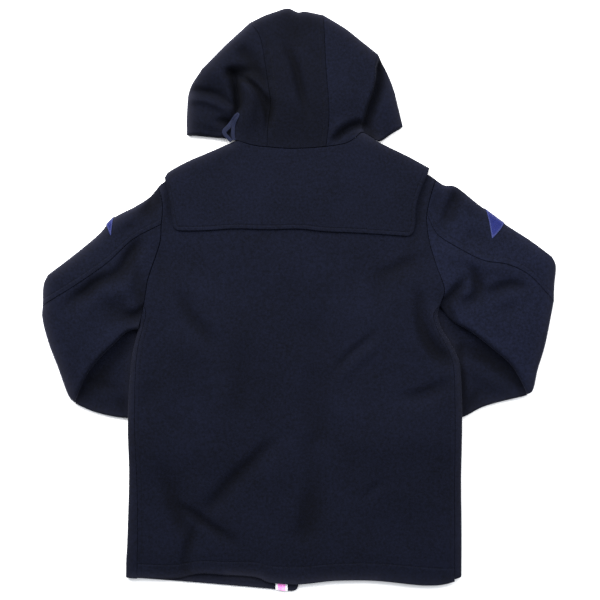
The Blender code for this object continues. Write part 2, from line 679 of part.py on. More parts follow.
def build_sleeve(side, material, hidden, collection):
    word = "left" if side < 0 else "right"
    top, under = sleeve_panels(side)
    wall("sleeve_top_" + word, top, material, collection)
    wall("sleeve_under_" + word, under, material, collection)
    upper, lower = filling((top, under))
    solid("sleeve_inner_" + word, upper, lower, hidden, collection)
    return top


def build_lower_sleeve(side, material, collection):
    """The turned lower sleeve, from the elbow fold to the cuff below the body."""
    word = "left" if side < 0 else "right"
    sleeve = LEFT_SLEEVE if side < 0 else RIGHT_SLEEVE
    upper_edge, lower_edge = sleeve.lower_upper_edge, sleeve.lower_lower_edge
    elbow = [upper_edge[0], lower_edge[0]]
    cuff = [upper_edge[-1], lower_edge[-1]]
    panel = Panel(coons(elbow, cuff, upper_edge, lower_edge),
                  stations(even(8), True, True), stations(even(5), True, True),
                  FOREARM_RADIUS, FOREARM_RADIUS, forearm_top, floor, floor, 0.0)
    return solid("sleeve_lower_" + word, panel_grid(panel, 0.0), under_grid(panel),
                 material, collection)


# ---- Hood ------------------------------------------------------------------------

def raised(points):
    return [(x, y + NECK_CLEAR) for x, y in points]


def hood_panels():
    neck_left = LEFT_FLAP + raised(NECK[1:NECK_LEFT_SEAM + 1])
    neck_centre = raised(NECK[NECK_LEFT_SEAM:NECK_RIGHT_SEAM + 1])
    neck_right = raised(NECK[NECK_RIGHT_SEAM:]) + RIGHT_FLAP
    seam_left = [neck_left[-1]] + HOOD_SEAM_LEFT[1:]
    seam_right = [neck_centre[-1]] + HOOD_SEAM_RIGHT[1:]
    rows = stations(even(12), False, True)
    left = Panel(coons(neck_left, HOOD_TOP_LEFT, HOOD_LEFT, seam_left), rows,
                 stations(shares(neck_left), True, False),
                 HOOD_RADIUS, HOOD_RADIUS, hood_top, floor, floor, 0.0)
    centre = Panel(coons(neck_centre, HOOD_TOP, seam_left, seam_right), rows,
                   stations(shares(neck_centre), False, False),
                   HOOD_RADIUS, 0.0, hood_top, floor, floor, 0.0)
    right = Panel(coons(neck_right, HOOD_TOP_RIGHT, seam_right, HOOD_RIGHT), rows,
                  stations(shares(neck_right), False, True),
                  HOOD_RADIUS, HOOD_RADIUS, hood_top, floor, floor, 0.0)
    return left, centre, right


def build_hood(material, hidden, collection):
    left, centre, right = hood_panels()
    wall("hood_side_left", left, material, collection)
    wall("hood_centre", centre, material, collection)
    wall("hood_side_right", right, material, collection)
    upper, lower = filling((left, centre, right))
    solid("hood_inner", upper, lower, hidden, collection)


# ---- Trims -----------------------------------------------------------------------

def build_facing_tape(material, collection):
    """Tape sewn along the inside of the left front's edge."""
    columns = [TAPE_LEFT, TAPE_LEFT + TAPE_WIDTH / 2, TAPE_LEFT + TAPE_WIDTH]
    upper, lower = [], []
    for share in even(4):
        line = []
        for x in columns:
            hem_y = lookup(LEFT_HEM, x) + GAP
            line.append((x, hem_y + share * TAPE_HIDDEN))
        base = OVERLAP_TOP + GAP
        lower.append([(x, y, base) for x, y in line])
        upper.append([(x, y, base + TAPE_THICK) for x, y in line])
    return solid("facing_tape", upper, lower, material, collection)


def build_neck_loop(material, collection):
    """Ribbon loop that lies over the hood's edge beside the neck."""
    upper, lower = [], []
    for index, (x, y) in enumerate(LOOP_PATH):
        before = LOOP_PATH[max(index - 1, 0)]
        after = LOOP_PATH[min(index + 1, len(LOOP_PATH) - 1)]
        share = LOOP_WIDTH / 2 / math.dist(before, after)
        side_x = (before[1] - after[1]) * share
        side_y = (after[0] - before[0]) * share
        ends = [(x - side_x, y - side_y), (x, y), (x + side_x, y + side_y)]
        base = max(max(hood_top(px, py), yoke_top(px, py)) for px, py in ends)
        base += LOOP_CLEAR
        lower.append([(px, py, base) for px, py in ends])
        upper.append([(px, py, base + LOOP_THICK) for px, py in ends])
    return solid("neck_loop", upper, lower, material, collection)


def wall_point(panel, share, column, depth):
    """Point on a wall's own flat facets, at a share of its way along."""
    flat = [row for row in panel.rows if not row.end]
    place = share * (len(flat) - 1)
    index = min(int(place), len(flat) - 2)
    near = panel_point(panel, flat[index], column, depth)
    far = panel_point(panel, flat[index + 1], column, depth)
    return tuple(a + (b - a) * (place - index) for a, b in zip(near, far))


def build_badge(badge, panel, material, collection):
    """Lozenge badge that lies round the sleeve's rolled outer edge."""
    quarter = SLEEVE_RADIUS * math.pi / 2
    lowest = quarter * BADGE_LOWEST / 90.0
    middle = badge.tip - badge.half_girth
    grids = []
    for depth in (-PATCH_CLEAR - PATCH_THICK, -PATCH_CLEAR):
        grid = []
        for across in even(12):
            girth = badge.tip - across * (badge.tip - lowest)
            half = badge.half_length * (1.0 - abs(girth - middle) / badge.half_girth)
            half += BADGE_TIP
            line = []
            for lengthwise in (-1.0, -0.5, 0.0, 0.5, 1.0):
                if girth >= quarter:
                    width = math.dist(panel.patch(badge.at, 0.0), panel.patch(badge.at, 1.0))
                    flat = width - SLEEVE_RADIUS - SEAM_GAP
                    column = Station((girth - quarter) / flat, 90.0, 0)
                else:
                    column = Station(0.0, 90.0 * girth / quarter, -1)
                length = math.dist(panel.patch(0.0, 0.0), panel.patch(1.0, 0.0))
                share = badge.at + lengthwise * half / length
                line.append(wall_point(panel, share, column, depth))
            grid.append(line)
        grids.append(grid)
    return solid(badge.name, grids[0], grids[1], material, collection)


def main():
    clear_scene()
    collection = bpy.data.collections.new("duffle_coat")
    bpy.context.scene.collection.children.link(collection)
    melton = make_material("navy_melton", MELTON, 0.95)
    hidden = make_material("navy_melton_hidden", MELTON_HIDDEN, 0.95)
    ribbon = make_material("blue_ribbon", BLUE_RIBBON, 0.5)
    satin = make_material("blue_satin_stitch", BLUE_SATIN, 0.5)
    tape = make_material("pink_facing_tape", PINK_TAPE, 0.7)
    build_back(melton, collection)
    build_left_front(melton, collection)
    build_right_front(melton, collection)
    build_yoke(melton, collection)
    left_top = build_sleeve(-1, melton, hidden, collection)
    right_top = build_sleeve(1, melton, hidden, collection)
    build_lower_sleeve(-1, melton, collection)
    build_lower_sleeve(1, melton, collection)
    build_hood(melton, hidden, collection)
    build_facing_tape(tape, collection)
    build_neck_loop(ribbon, collection)
    build_badge(LEFT_BADGE, left_top, satin, collection)
    build_badge(RIGHT_BADGE, right_top, satin, collection)


main()
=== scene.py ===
"""Duffle coat of heavy wool melton, lying face down with both sleeves folded under it.

Every panel is a thin shell of cloth on its solid's form. Tables are in millimetres in
the frame's own axes: x runs across the coat, y from hem to hood, z up from the floor.
"""

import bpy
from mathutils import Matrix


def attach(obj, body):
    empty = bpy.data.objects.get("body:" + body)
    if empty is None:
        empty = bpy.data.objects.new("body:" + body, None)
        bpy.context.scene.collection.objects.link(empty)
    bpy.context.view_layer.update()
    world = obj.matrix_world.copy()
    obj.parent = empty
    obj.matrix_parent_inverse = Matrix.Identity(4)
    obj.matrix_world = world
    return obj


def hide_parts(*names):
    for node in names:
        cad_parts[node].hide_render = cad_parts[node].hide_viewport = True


bl_info = {
    "name": "Duffle Coat",
    "version": (1, 0, 0),
    "blender": (4, 5, 0),
    "location": "View3D > Sidebar > Coat",
    "description": "Dresses the packed duffle coat with its cloth, sewing and trims",
    "category": "Object",
}

import math
from collections import namedtuple

import bmesh
import bpy
import numpy as np
from bpy.props import FloatProperty, FloatVectorProperty, PointerProperty
from mathutils import Vector

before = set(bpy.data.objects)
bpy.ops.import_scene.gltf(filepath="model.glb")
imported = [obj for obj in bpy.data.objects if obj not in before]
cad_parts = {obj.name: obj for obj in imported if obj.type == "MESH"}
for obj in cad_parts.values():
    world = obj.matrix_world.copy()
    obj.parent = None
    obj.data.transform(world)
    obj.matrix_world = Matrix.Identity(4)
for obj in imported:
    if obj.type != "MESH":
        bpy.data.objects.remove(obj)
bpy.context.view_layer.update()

MM = 0.001
UP = (0.0, 0.0, 1.0)
GAP = 0.3               # air between neighbouring pieces
CLOTH = 3.0             # one layer of the melton, as the solids have it
LAYER = CLOTH + GAP     # and the height that one layer adds
TURNED = 5.6            # cloth turned over once at a hem, pressed
HEM_WIDTH = 28.0        # turned part of the fronts' hem
FRONT_HEM_SOFT = 3.0    # how softly it thins out above that
BACK_HEM_SOFT = 4.0     # and the back's above its topstitching
SEAM_RADIUS = 1.2       # how the cloth rounds down into a seam

BODY_RISE = 15.0        # back, fronts and facings lying flat
HEM_DROP = 3.0
HEM_REACH = 60.0
FOREARM_RISE = 10.0     # the turned lower sleeve, two layers and the air in them
SLEEVE_RISE = 15.0
SLEEVE_PUFF = 3.5       # the sleeve rises this much more away from the armhole
PUFF_START = 245.0
PUFF_REACH = 45.0
HOOD_NECK_RISE = 18.3
HOOD_RISE = 12.0
HOOD_REACH = 90.0
DRAPE_FULL = 28.0       # cloth lies at full height this far past the turned sleeve
DRAPE_END = 130.0       # and is back on the floor here
LEAST = 6.4             # height of the cloth's face in the deepest folds
LEAST_SOFT = 1.6        # how softly a fold levels out there
SLOW_WAVE = 0.8         # rise of the slow waves that thick cloth keeps
SHORT_WAVE = 0.38       # and of the shorter ones on them

SIDE_RADIUS = 6.5
SLEEVE_RADIUS = 8.5
ELBOW_RADIUS = 13.0
HOOD_RADIUS = 12.0
YOKE_RADIUS = 7.0
FOREARM_RADIUS = 5.0
ROLL_SPAN = 165.0       # degrees that a rolled edge turns, down to the floor
SEAM_SPAN = 84.0        # degrees that an edge turns at a seam or a hem
FILLING_SPAN = 86.0     # degrees that the hidden layers' edge turns
ROLL_STEPS = 9
SHARP_ANGLE = 50.0      # edges sharper than this stay sharp
ROLL_PART = 0.8         # most of a side strip, or of its roll, that bends
SIDE_PART = 0.9         # most of the roll's half height that its cloth takes up
LEAST_CLOTH = 1.2       # and the least that a pressed front keeps
FLAP_RADIUS = 5.5       # roll of the hood's free edges beside the neck
EDGE_PART = 0.97        # share of a free edge's half thickness that rounds away
FILLING_CLEAR = 0.8     # air between the hidden layers and the cloth that shows
FILLING_SPACING = 6.0   # their grid is coarser than the cloth's

# ---- Tables ----------------------------------------------------------------------

# The body from hem to shoulder: its edges and the width of the front's strip that
# wraps round to the side seam.
BODY = [
    # y, left, right, wrap_left, wrap_right
    (-500.0, -312.7, 293.4, 21.0, 12.5),
    (-472.0, -312.2, 293.4, 20.5, 12.6),
    (-440.0, -310.3, 293.4, 19.5, 12.8),
    (-405.0, -309.1, 293.4, 18.5, 13.0),
    (-370.0, -308.0, 293.0, 17.0, 13.0),
    (-335.0, -307.0, 292.5, 15.5, 12.8),
    (-300.0, -306.4, 292.4, 14.0, 12.5),
    (-266.0, -307.0, 292.8, 13.5, 12.8),
    (-235.0, -307.8, 293.2, 13.0, 13.2),
    (-205.0, -307.5, 293.4, 12.5, 13.4),
    (-172.0, -306.3, 292.6, 11.5, 13.0),
    (-139.0, -304.0, 291.6, 10.0, 12.5),
    (-108.0, -301.2, 287.8, 9.0, 12.0),
    (-78.0, -296.0, 274.0, 8.0, 11.0),
    (-50.0, -288.5, 256.5, 7.5, 9.0),
    (-22.0, -281.8, 249.2, 7.0, 7.5),
    (-6.0, -278.8, 254.0, 0.6, 0.6),
    (17.0, -275.4, 261.7, 0.6, 0.6),
    (36.5, -272.5, 257.5, 0.6, 0.6),
    (57.0, -266.4, 249.6, 0.6, 0.6),
    (84.0, -257.4, 241.2, 0.6, 0.6),
    (110.0, -249.9, 234.6, 0.6, 0.6),
    (137.3, -248.4, 231.0, 0.6, 0.6),
    (154.8, -246.6, 230.8, 0.6, 0.6),
    (172.0, -246.2, 234.6, 0.6, 0.6),
    (190.0, -249.4, 240.6, 0.6, 0.6),
    (210.0, -253.8, 247.2, 0.6, 0.6),
]
HEM_Y = BODY[0][0]
TOP_Y = BODY[-1][0]
PIT_Y = -6.0            # first height of the armhole
PIT_SOFT = 12.0
TOP_BLEND = 60.0        # the shoulder's slope is taken up over this height
HEM_BLEND = 90.0        # and the hem's waves over this one
LEFT_STEP_X = -72.0     # where the fronts' overlap starts
LEFT_EDGE_X = -1.0      # the left front's own edge
LAP_RISE = 6.6          # the right front rises this much onto the left one
LAP_START = 12.0        # from here
LAP_REACH = 11.0        # over this distance
RIGHT_HEM_SHORT = 4.0   # the right front's hem ends this far inside the back's
PIT_WRAP = 0.6          # least width of a front's side strip
SIDE_STITCH = 7.6       # topstitching inside the side seams
SIDE_STITCH_END = 24.0  # and how far below the armhole it ends
SIDE_FADE_START = 14.0  # the raised side seams fade out from here below it
SIDE_FADE = 24.0        # over this distance
LAPPED = (0.365, 0.53)  # where the fronts overlap, as shares of the back's width
LAPPED_FADE = 0.02

BACK_HEM = [(-312.7, -498.4), (-214.0, -499.5), (-182.0, -492.0), (-131.0, -494.5),
            (-72.7, -499.5), (-55.0, -507.0), (2.0, -511.0), (62.5, -505.0),
            (140.0, -505.0), (229.0, -513.5), (262.0, -511.5), (293.4, -502.2)]
HEM_STITCH = [(-312.7, 24.5), (-131.0, 27.0), (-72.0, 29.5), (0.0, 31.0), (229.0, 31.5),
              (293.4, 22.0)]
LEFT_HEM = [(-312.7, -499.4), (-206.6, -507.2), (-130.9, -513.5), (-43.7, -521.3),
            (-22.0, -524.0), (-10.3, -524.2), (-4.0, -521.0), (-0.9, -514.0)]
BACK_TOP = [(-254.0, 206.0), (-244.0, 214.0), (-229.0, 226.0), (-198.0, 242.0),
            (-120.0, 274.0), (-74.0, 268.0), (-25.0, 264.3), (23.0, 265.0),
            (58.0, 267.6), (100.0, 276.0), (144.0, 275.0), (200.0, 248.5),
            (232.0, 228.0), (248.0, 218.0)]

YOKE_BOTTOM = [(-226.0, 126.5), (-177.5, 126.4), (-115.6, 130.0), (-55.8, 128.5),
               (2.0, 129.6), (43.0, 125.3), (105.0, 122.4), (187.7, 117.0),
               (203.5, 115.5)]
YOKE_LEFT = [(-226.0, 126.5), (-227.2, 139.9), (-229.1, 150.1), (-233.3, 181.1),
             (-237.6, 201.8), (-242.1, 223.0)]
YOKE_RIGHT = [(203.5, 115.5), (207.3, 127.4), (209.5, 139.9), (211.5, 171.0),
              (218.7, 197.6), (231.1, 226.8), (235.3, 240.1)]
YOKE_CORNER = 12.0      # radius of its two lower corners
YOKE_STITCH = 7.2       # topstitching inside its edge
YOKE_FADE_START = 6.0   # which fades out from here below the shoulder
YOKE_FADE = 14.0        # over this distance
YOKE_FOLDS = [
    [(-84, 272, -0.5, 12), (-120, 257, -2.0, 13), (-148, 236, -1.6, 16),
     (-168, 212, -0.3, 18)],
    [(38, 146, 0.6, 36), (42, 200, 2.0, 40), (44, 250, 0.8, 36)],
    [(190, 160, 0.3, 18), (200, 196, 1.0, 16), (206, 224, 0.4, 14)],
    [(119, 305, 0.0, 2), (150, 289, -0.4, 1.6), (190, 266, -0.4, 1.6), (218, 251, 0.0, 2)],
]
SHOULDER_LEFT = [(-242.1, 223.0), (-237.6, 230.8), (-229.1, 236.9), (-198.2, 253.4),
                 (-160.0, 269.4), (-125.0, 284.4)]
NECK = [(-125.0, 284.4), (-112.0, 288.0), (-92.0, 282.2), (-74.0, 278.3), (-57.4, 276.8),
        (-40.0, 275.2), (-18.0, 274.0), (4.0, 274.3), (26.0, 275.3), (48.6, 277.4),
        (68.0, 280.0), (87.3, 284.6), (101.0, 293.0), (113.0, 303.0)]
SHOULDER_RIGHT = [(113.0, 303.0), (128.0, 296.0), (144.4, 286.6), (172.0, 273.2),
                  (199.8, 259.7), (220.0, 248.6), (235.3, 240.1)]
NECK_LEFT_SEAM = 4      # rows of NECK where the hood's seams stand
NECK_RIGHT_SEAM = 9
NECK_CLEAR = 0.6
NECK_FADE = 0.03        # share of the neck's length in which its seam ends
FLAP_FADE = 0.05        # and share of a hood panel's in which its free edge starts

HOOD_LEFT = [(-202.7, 299.2), (-202.0, 342.5), (-197.1, 381.1), (-174.6, 416.5)]
HOOD_TOP_LEFT = [(-174.6, 416.5), (-132.8, 459.9), (-110.0, 481.0), (-89.5, 500.0)]
HOOD_SEAM_LEFT = [(-57.4, 277.4), (-55.8, 316.8), (-50.9, 358.6), (-54.2, 381.1),
                  (-62.1, 435.8), (-71.8, 477.5), (-89.5, 500.0)]
HOOD_TOP = [(-89.5, 500.0), (-63.7, 513.0), (-41.4, 520.9), (-20.0, 526.7),
            (-1.1, 519.3), (8.0, 520.9), (43.9, 514.4)]
HOOD_SEAM_RIGHT = [(48.6, 278.0), (53.1, 316.8), (53.6, 349.2), (48.6, 413.3),
                   (45.5, 477.5), (43.9, 514.4)]
HOOD_TOP_RIGHT = [(43.9, 514.4), (85.7, 488.7), (109.8, 469.4), (142.0, 443.7)]
HOOD_RIGHT = [(187.6, 314.0), (178.9, 349.2), (170.8, 381.1), (158.0, 413.3),
              (142.0, 443.7)]
LEFT_FLAP = [(-202.7, 299.2), (-178.0, 297.0), (-155.0, 294.9), (-131.4, 292.7)]
RIGHT_FLAP = [(128.0, 297.2), (145.1, 288.0), (166.0, 300.4), (187.6, 314.0)]
HOOD_STITCH_LEFT = 12.0     # topstitching inside the centre panel's left seam
HOOD_STITCH_RIGHT = 9.0     # and inside its right one
FLAP_STITCH = 12.0

# A sleeve: where its back seam and its underarm meet the armhole, the way that its nap
# runs, which picks its cloth's painted light, and the lines of its seams, of the elbow's
# fold and of the turned lower sleeve.
Sleeve = namedtuple("Sleeve", "word column seam_y underarm_y cut outer seam inner elbow_top "
                              "elbow_under lower_upper_edge lower_lower_edge")
LEFT_SLEEVE = Sleeve(
    word="left", column=1, seam_y=137.3, underarm_y=-50.0, cut="upwards",
    outer=[(-254.0, 212.0), (-271.1, 186.5), (-296.5, 170.1), (-335.2, 149.4),
           (-359.1, 122.4), (-409.9, 79.2), (-452.0, 47.0)],
    seam=[(-248.4, 137.3), (-299.5, 110.5), (-344.2, 68.6), (-389.0, 36.0),
          (-461.2, -9.0)],
    inner=[(-290.5, -50.0), (-308.3, -55.3), (-335.2, -80.6), (-359.1, -104.4),
           (-380.0, -131.4), (-404.0, -183.0)],
    elbow_top=[(-452.0, 47.0), (-459.6, 30.0), (-461.2, -9.0)],
    elbow_under=[(-461.2, -9.0), (-462.4, -27.0), (-451.8, -71.6), (-433.8, -119.3),
                 (-413.0, -174.0), (-404.0, -183.0)],
    lower_upper_edge=[(-440.0, 12.0), (-300.0, -22.0), (-160.0, -74.0)],
    lower_lower_edge=[(-403.0, -186.0), (-371.0, -199.8), (-335.2, -208.8),
                      (-308.3, -212.0), (-172.0, -234.0)],
)
RIGHT_SLEEVE = Sleeve(
    word="right", column=2, seam_y=154.8, underarm_y=-9.0, cut="downwards",
    outer=[(247.7, 220.9), (262.6, 209.0), (280.6, 207.5), (319.3, 177.7),
           (371.5, 138.8), (414.9, 110.5), (455.0, 80.0)],
    seam=[(230.8, 154.8), (248.8, 121.1), (286.0, 95.4), (330.7, 72.9),
          (375.3, 65.3), (412.2, 46.8), (458.4, -1.6)],
    inner=[(253.0, -9.0), (275.0, -35.0), (311.9, -57.4), (349.2, -87.1),
           (382.7, -117.0), (411.0, -168.0)],
    elbow_top=[(455.0, 80.0), (461.9, 65.7), (459.4, 27.0), (458.4, -1.6)],
    elbow_under=[(458.4, -1.6), (455.2, -18.0), (441.7, -83.5), (429.8, -122.4),
                 (419.0, -164.0), (411.0, -168.0)],
    lower_upper_edge=[(440.0, 36.0), (300.0, 12.0), (250.0, -6.0), (158.0, -58.0)],
    lower_lower_edge=[(411.0, -170.5), (334.3, -190.5), (292.5, -211.0),
                      (170.0, -236.0)],
)

SEAM_BAND = 9.6         # width of the raised, topstitched band along the sleeve's seam
SEAM_SINK = 0.8         # how far the under sleeve sinks beside it
SEAM_SLOPE = 5.0

# Folds: each is a line of x, y, how far the cloth rises or sinks there, and half width.
BODY_FOLDS = [
    # left shoulder blade: a trough and the bulge below it
    [(-216, 24, -1.0, 12), (-206, -8, -5.7, 10.8), (-190, -35, -6.9, 10.8),
     (-172, -58, -5.5, 10.8), (-152, -90, -1.0, 13.2)],
    [(-238, -46, 1.0, 21.6), (-206, -80, 4.1, 21.6), (-178, -116, 1.0, 24)],
    [(-274, -140, -0.7, 15.6), (-271, -172, -3.9, 15.6), (-275, -206, -0.7, 15.6)],
    [(-108, -66, -0.7, 24), (-104, -145, -4.1, 21.6), (-108, -222, -0.7, 24)],
    [(-22, -50, -0.7, 24), (20, -50, -3.2, 24), (62, -48, -0.7, 24)],
    # sharp crease in the middle of the back with the soft roll beside it
    [(56, -138, -0.7, 6.6), (84, -103, -4.5, 6.6), (110, -80, -5.3, 6.6),
     (138, -56, -0.7, 7.8)],
    [(72, -144, 0.7, 10.8), (98, -114, 3.2, 10.8), (124, -92, 3.2, 10.8),
     (150, -68, 0.7, 10.8)],
    # below the right armhole
    [(216, 22, -1.3, 9.6), (218, -6, -7.3, 9.6), (219, -34, -9.2, 9.6),
     (226, -62, -10.6, 9.6), (244, -91, -10.6, 9.6), (262, -106, -6.7, 10.8),
     (277, -121, -1.3, 12)],
    [(234, 20, 1.4, 10.8), (238, -18, 6.3, 12), (246, -48, 6.7, 12), (262, -76, 2.9, 10.8)],
    [(178, -172, -1.3, 12), (212, -170, -6.9, 11.4), (250, -155, -5.5, 11.4),
     (276, -143, -1.3, 12)],
    # behind the right shoulder blade
    [(132, 48, -1.0, 12), (160, 52, -4.1, 10.8), (190, 66, -5.7, 10.8), (224, 77, -1.4, 12)],
    [(150, 50, -1.0, 13.2), (141, 22, -3.2, 13.2), (134, -10, -0.7, 14.4)],
    # middle of the back, down to the hem
    [(30, -92, -0.7, 20.4), (26, -150, -2.9, 20.4), (27, -200, -3.4, 20.4),
     (34, -240, -4.5, 18), (22, -262, -4.3, 18), (26, -330, -3.9, 18), (20, -362, -6.6, 16.8),
     (13, -405, -7.3, 16.8), (-10, -438, -1.3, 20.4)],
    # arc from the middle to the lower left
    [(-34, -248, -1.0, 12), (-65, -270, -5.2, 11.4), (-85, -290, -7.3, 11.4),
     (-110, -312, -7.8, 11.4), (-135, -340, -7.6, 10.8), (-155, -365, -5.7, 10.8),
     (-172, -383, -1.0, 12)],
    [(-62, -302, 1.0, 26.4), (-30, -302, 3.5, 28.8), (2, -302, 1.0, 26.4)],
    [(-160, -320, 1.0, 21.6), (-180, -345, 3.9, 19.2), (-200, -362, 1.0, 16.8)],
    # lower left corner
    [(-248, -292, -1.0, 13.2), (-236, -335, -5.3, 12.6), (-226, -370, -7.6, 12),
     (-214, -400, -7.7, 11.4), (-203, -428, -2.0, 12)],
    [(-220, -365, -1.0, 7.2), (-190, -385, -7.3, 7.2), (-165, -403, -8.3, 7.2),
     (-140, -420, -6.7, 7.8), (-110, -441, -0.7, 9.6)],
    [(-183, -392, -1.0, 7.2), (-193, -420, -5.7, 7.2), (-202, -450, -6.7, 7.2),
     (-205, -480, -5.7, 7.8), (-203, -502, -2.4, 9.6)],
    [(-230, -440, 1.0, 16.8), (-232, -462, 2.8, 16.8), (-234, -486, 1.0, 16.8)],
    [(-160, -440, 1.0, 19.2), (-176, -462, 2.4, 16.8), (-184, -486, 1.0, 16.8)],
    # broad rolls across the lower right
    [(70, -262, 1.3, 43.2), (130, -246, 8.3, 45.6), (200, -238, 9.7, 45.6),
     (280, -222, 2.4, 43.2)],
    [(96, -372, 1.3, 38.4), (150, -350, 6.3, 43.2), (210, -340, 7.7, 43.2),
     (284, -330, 2.4, 40.8)],
    [(118, -357, -0.7, 7.2), (135, -336, -3.2, 7.2), (152, -323, -0.7, 7.2)],
    [(-272, -210, 1.4, 24), (-268, -270, 2.8, 21.6), (-270, -330, 1.0, 24)],
    [(-160, 96, 0.7, 36), (-60, 60, 2.9, 40.8), (40, 40, 0.7, 36)],
    # channels between the yoke's side edges and the armholes
    [(-240, 214, -2.2, 5), (-236, 182, -3.9, 5), (-232, 150, -3.9, 5), (-230, 128, -0.8, 5)],
    [(213, 120, -0.8, 5), (216, 150, -3.6, 6), (221, 184, -4.2, 6), (231, 216, -2.5, 6)],
    [(-252, 96, -1.0, 8.4), (-249, 60, -2.9, 8.4), (-251, 24, -1.0, 8.4)],
]
SLEEVE_FOLDS = [
    # left sleeve
    [(-281, 114, -1.3, 9.6), (-296, 95, -9.4, 9.6), (-308, 76, -11.9, 9.6),
     (-319, 56, -10.4, 10.8), (-340, 42, -8.9, 10.8), (-362, 34, -11.4, 9.6),
     (-382, 18, -11.9, 9.6), (-401, 4, -7.9, 10.8), (-418, -18, -1.3, 14.4)],
    [(-291, 72, -1.0, 8.4), (-291, 40, -5.4, 8.4), (-290, 12, -5.9, 9.6),
     (-286, -6, -3.0, 9.6)],
    [(-276, -14, -9.0, 7.0), (-292, -25, -11.0, 8.0), (-310, -27, -8.0, 11.0),
     (-334, -18, -5.5, 18.0), (-358, -20, -1.5, 16.8)],
    [(-276, 40, -1.5, 7.2), (-279, 10, -4.5, 7.2), (-281, -8, -3.5, 8.4)],
    [(-306, 26, 1.5, 13.2), (-330, 14, 2.4, 13.2), (-352, 12, 0.8, 14.4)],
    [(-276, 96, 0.8, 10.8), (-280, 70, 2.2, 9.6), (-280, 48, 0.6, 9.6)],
    [(-306, -62, 2.5, 12), (-330, -72, 4.5, 14.4), (-360, -100, 2.5, 16.8)],
    [(-360, 10, 0.8, 28.8), (-392, -30, 2.9, 33.6), (-420, -84, 1.5, 31.2)],
    [(-254, 206, -4.9, 9.6), (-262, 183, -10.9, 10.8), (-272, 164, -8.9, 12),
     (-291, 150, -2.0, 14.4)],
    [(-290, 138, -1.0, 9.6), (-304, 130, -3.5, 9.6), (-322, 118, -0.7, 9.6)],
    # right sleeve
    [(287, 202, -4.9, 9.6), (279, 179, -11.9, 9.6), (270, 158, -11.4, 9.6),
     (260, 136, -3.5, 10.8)],
    [(252, 204, -2.0, 13.2), (250, 172, -4.6, 13.2), (247, 140, -1.5, 13.2)],
    [(248, 4, -9.0, 5.0), (256, -8, -12.0, 8.0), (268, -26, -12.0, 8.0),
     (276, -38, -6.0, 7.0)],
    [(258, -8, -10.0, 7.0), (271, 6, -12.0, 8.0), (286, 24, -11.0, 7.5),
     (297, 38, -4.5, 8.0)],
    [(308, 70, -1.3, 7.2), (315, 48, -8.4, 7.2), (321, 24, -10.9, 7.8), (314, 6, -8.4, 9.6),
     (298, -2, -5.9, 10.8)],
    [(338, 6, -2.5, 9.6), (350, 18, -7.1, 9.6), (374, 28, -8.4, 9), (396, 25, -6.3, 9.6),
     (406, 12, -1.3, 10.8)],
    [(350, -14, -1.0, 12), (374, -14, -4.0, 12), (400, -8, -0.7, 12)],
    [(260, 86, 1.0, 10.8), (298, 76, 3.6, 10.2), (340, 61, 3.4, 10.2), (380, 55, 2.2, 10.8),
     (412, 42, 0.5, 12)],
    [(300, 26, 3.0, 9.6), (302, 14, 3.5, 9.6), (306, 4, 1.5, 9.6)],
    [(370, -30, 2.0, 33.6), (408, -56, 4.0, 33.6), (424, -90, 2.0, 31.2)],
    [(290, -46, 2.0, 10.8), (320, -68, 4.0, 12), (360, -102, 2.5, 14.4)],
    [(312, 118, -4.0, 10.8), (328, 110, -3.5, 12), (344, 104, -0.7, 12)],
    [(300, 148, -1.0, 19.2), (310, 158, -3.0, 16.8), (316, 172, -0.7, 16.8)],
]
FOREARM_FOLDS = [
    [(-312, -80, -1.9, 9.9), (-344, -118, -3.6, 11), (-370, -144, -3.8, 13.2),
     (-394, -172, -1.7, 9.9)],
    [(-386, -142, -0.7, 5.5), (-370, -147, -2.2, 5.5), (-342, -153, -1.9, 6.6),
     (-322, -156, -0.5, 6.6)],
    [(-330, -172, -0.6, 8.8), (-320, -186, -2.9, 9.9), (-314, -206, -1.0, 9.9)],
    [(-316, -110, 0.7, 13.2), (-330, -118, 1.4, 13.2)],
    [(290, -54, 1.0, 3.6), (304, -69, 2.6, 3.6), (318, -84, 1.0, 3.6)],
    [(300, -84, -2.0, 12), (330, -98, -3.4, 15), (365, -124, -3.4, 15),
     (398, -150, -2.6, 10)],
    [(303, -116, 2.5, 9), (326, -132, 4.5, 11), (356, -150, 4.5, 11), (388, -168, 2.5, 10)],
    [(289, -86, -2.4, 6), (293, -120, -3.4, 6), (295, -160, -3.4, 6), (299, -198, -2.4, 7)],
    [(324, -162, -1.2, 5), (312, -180, -2.2, 6), (318, -196, -1.0, 6)],
]
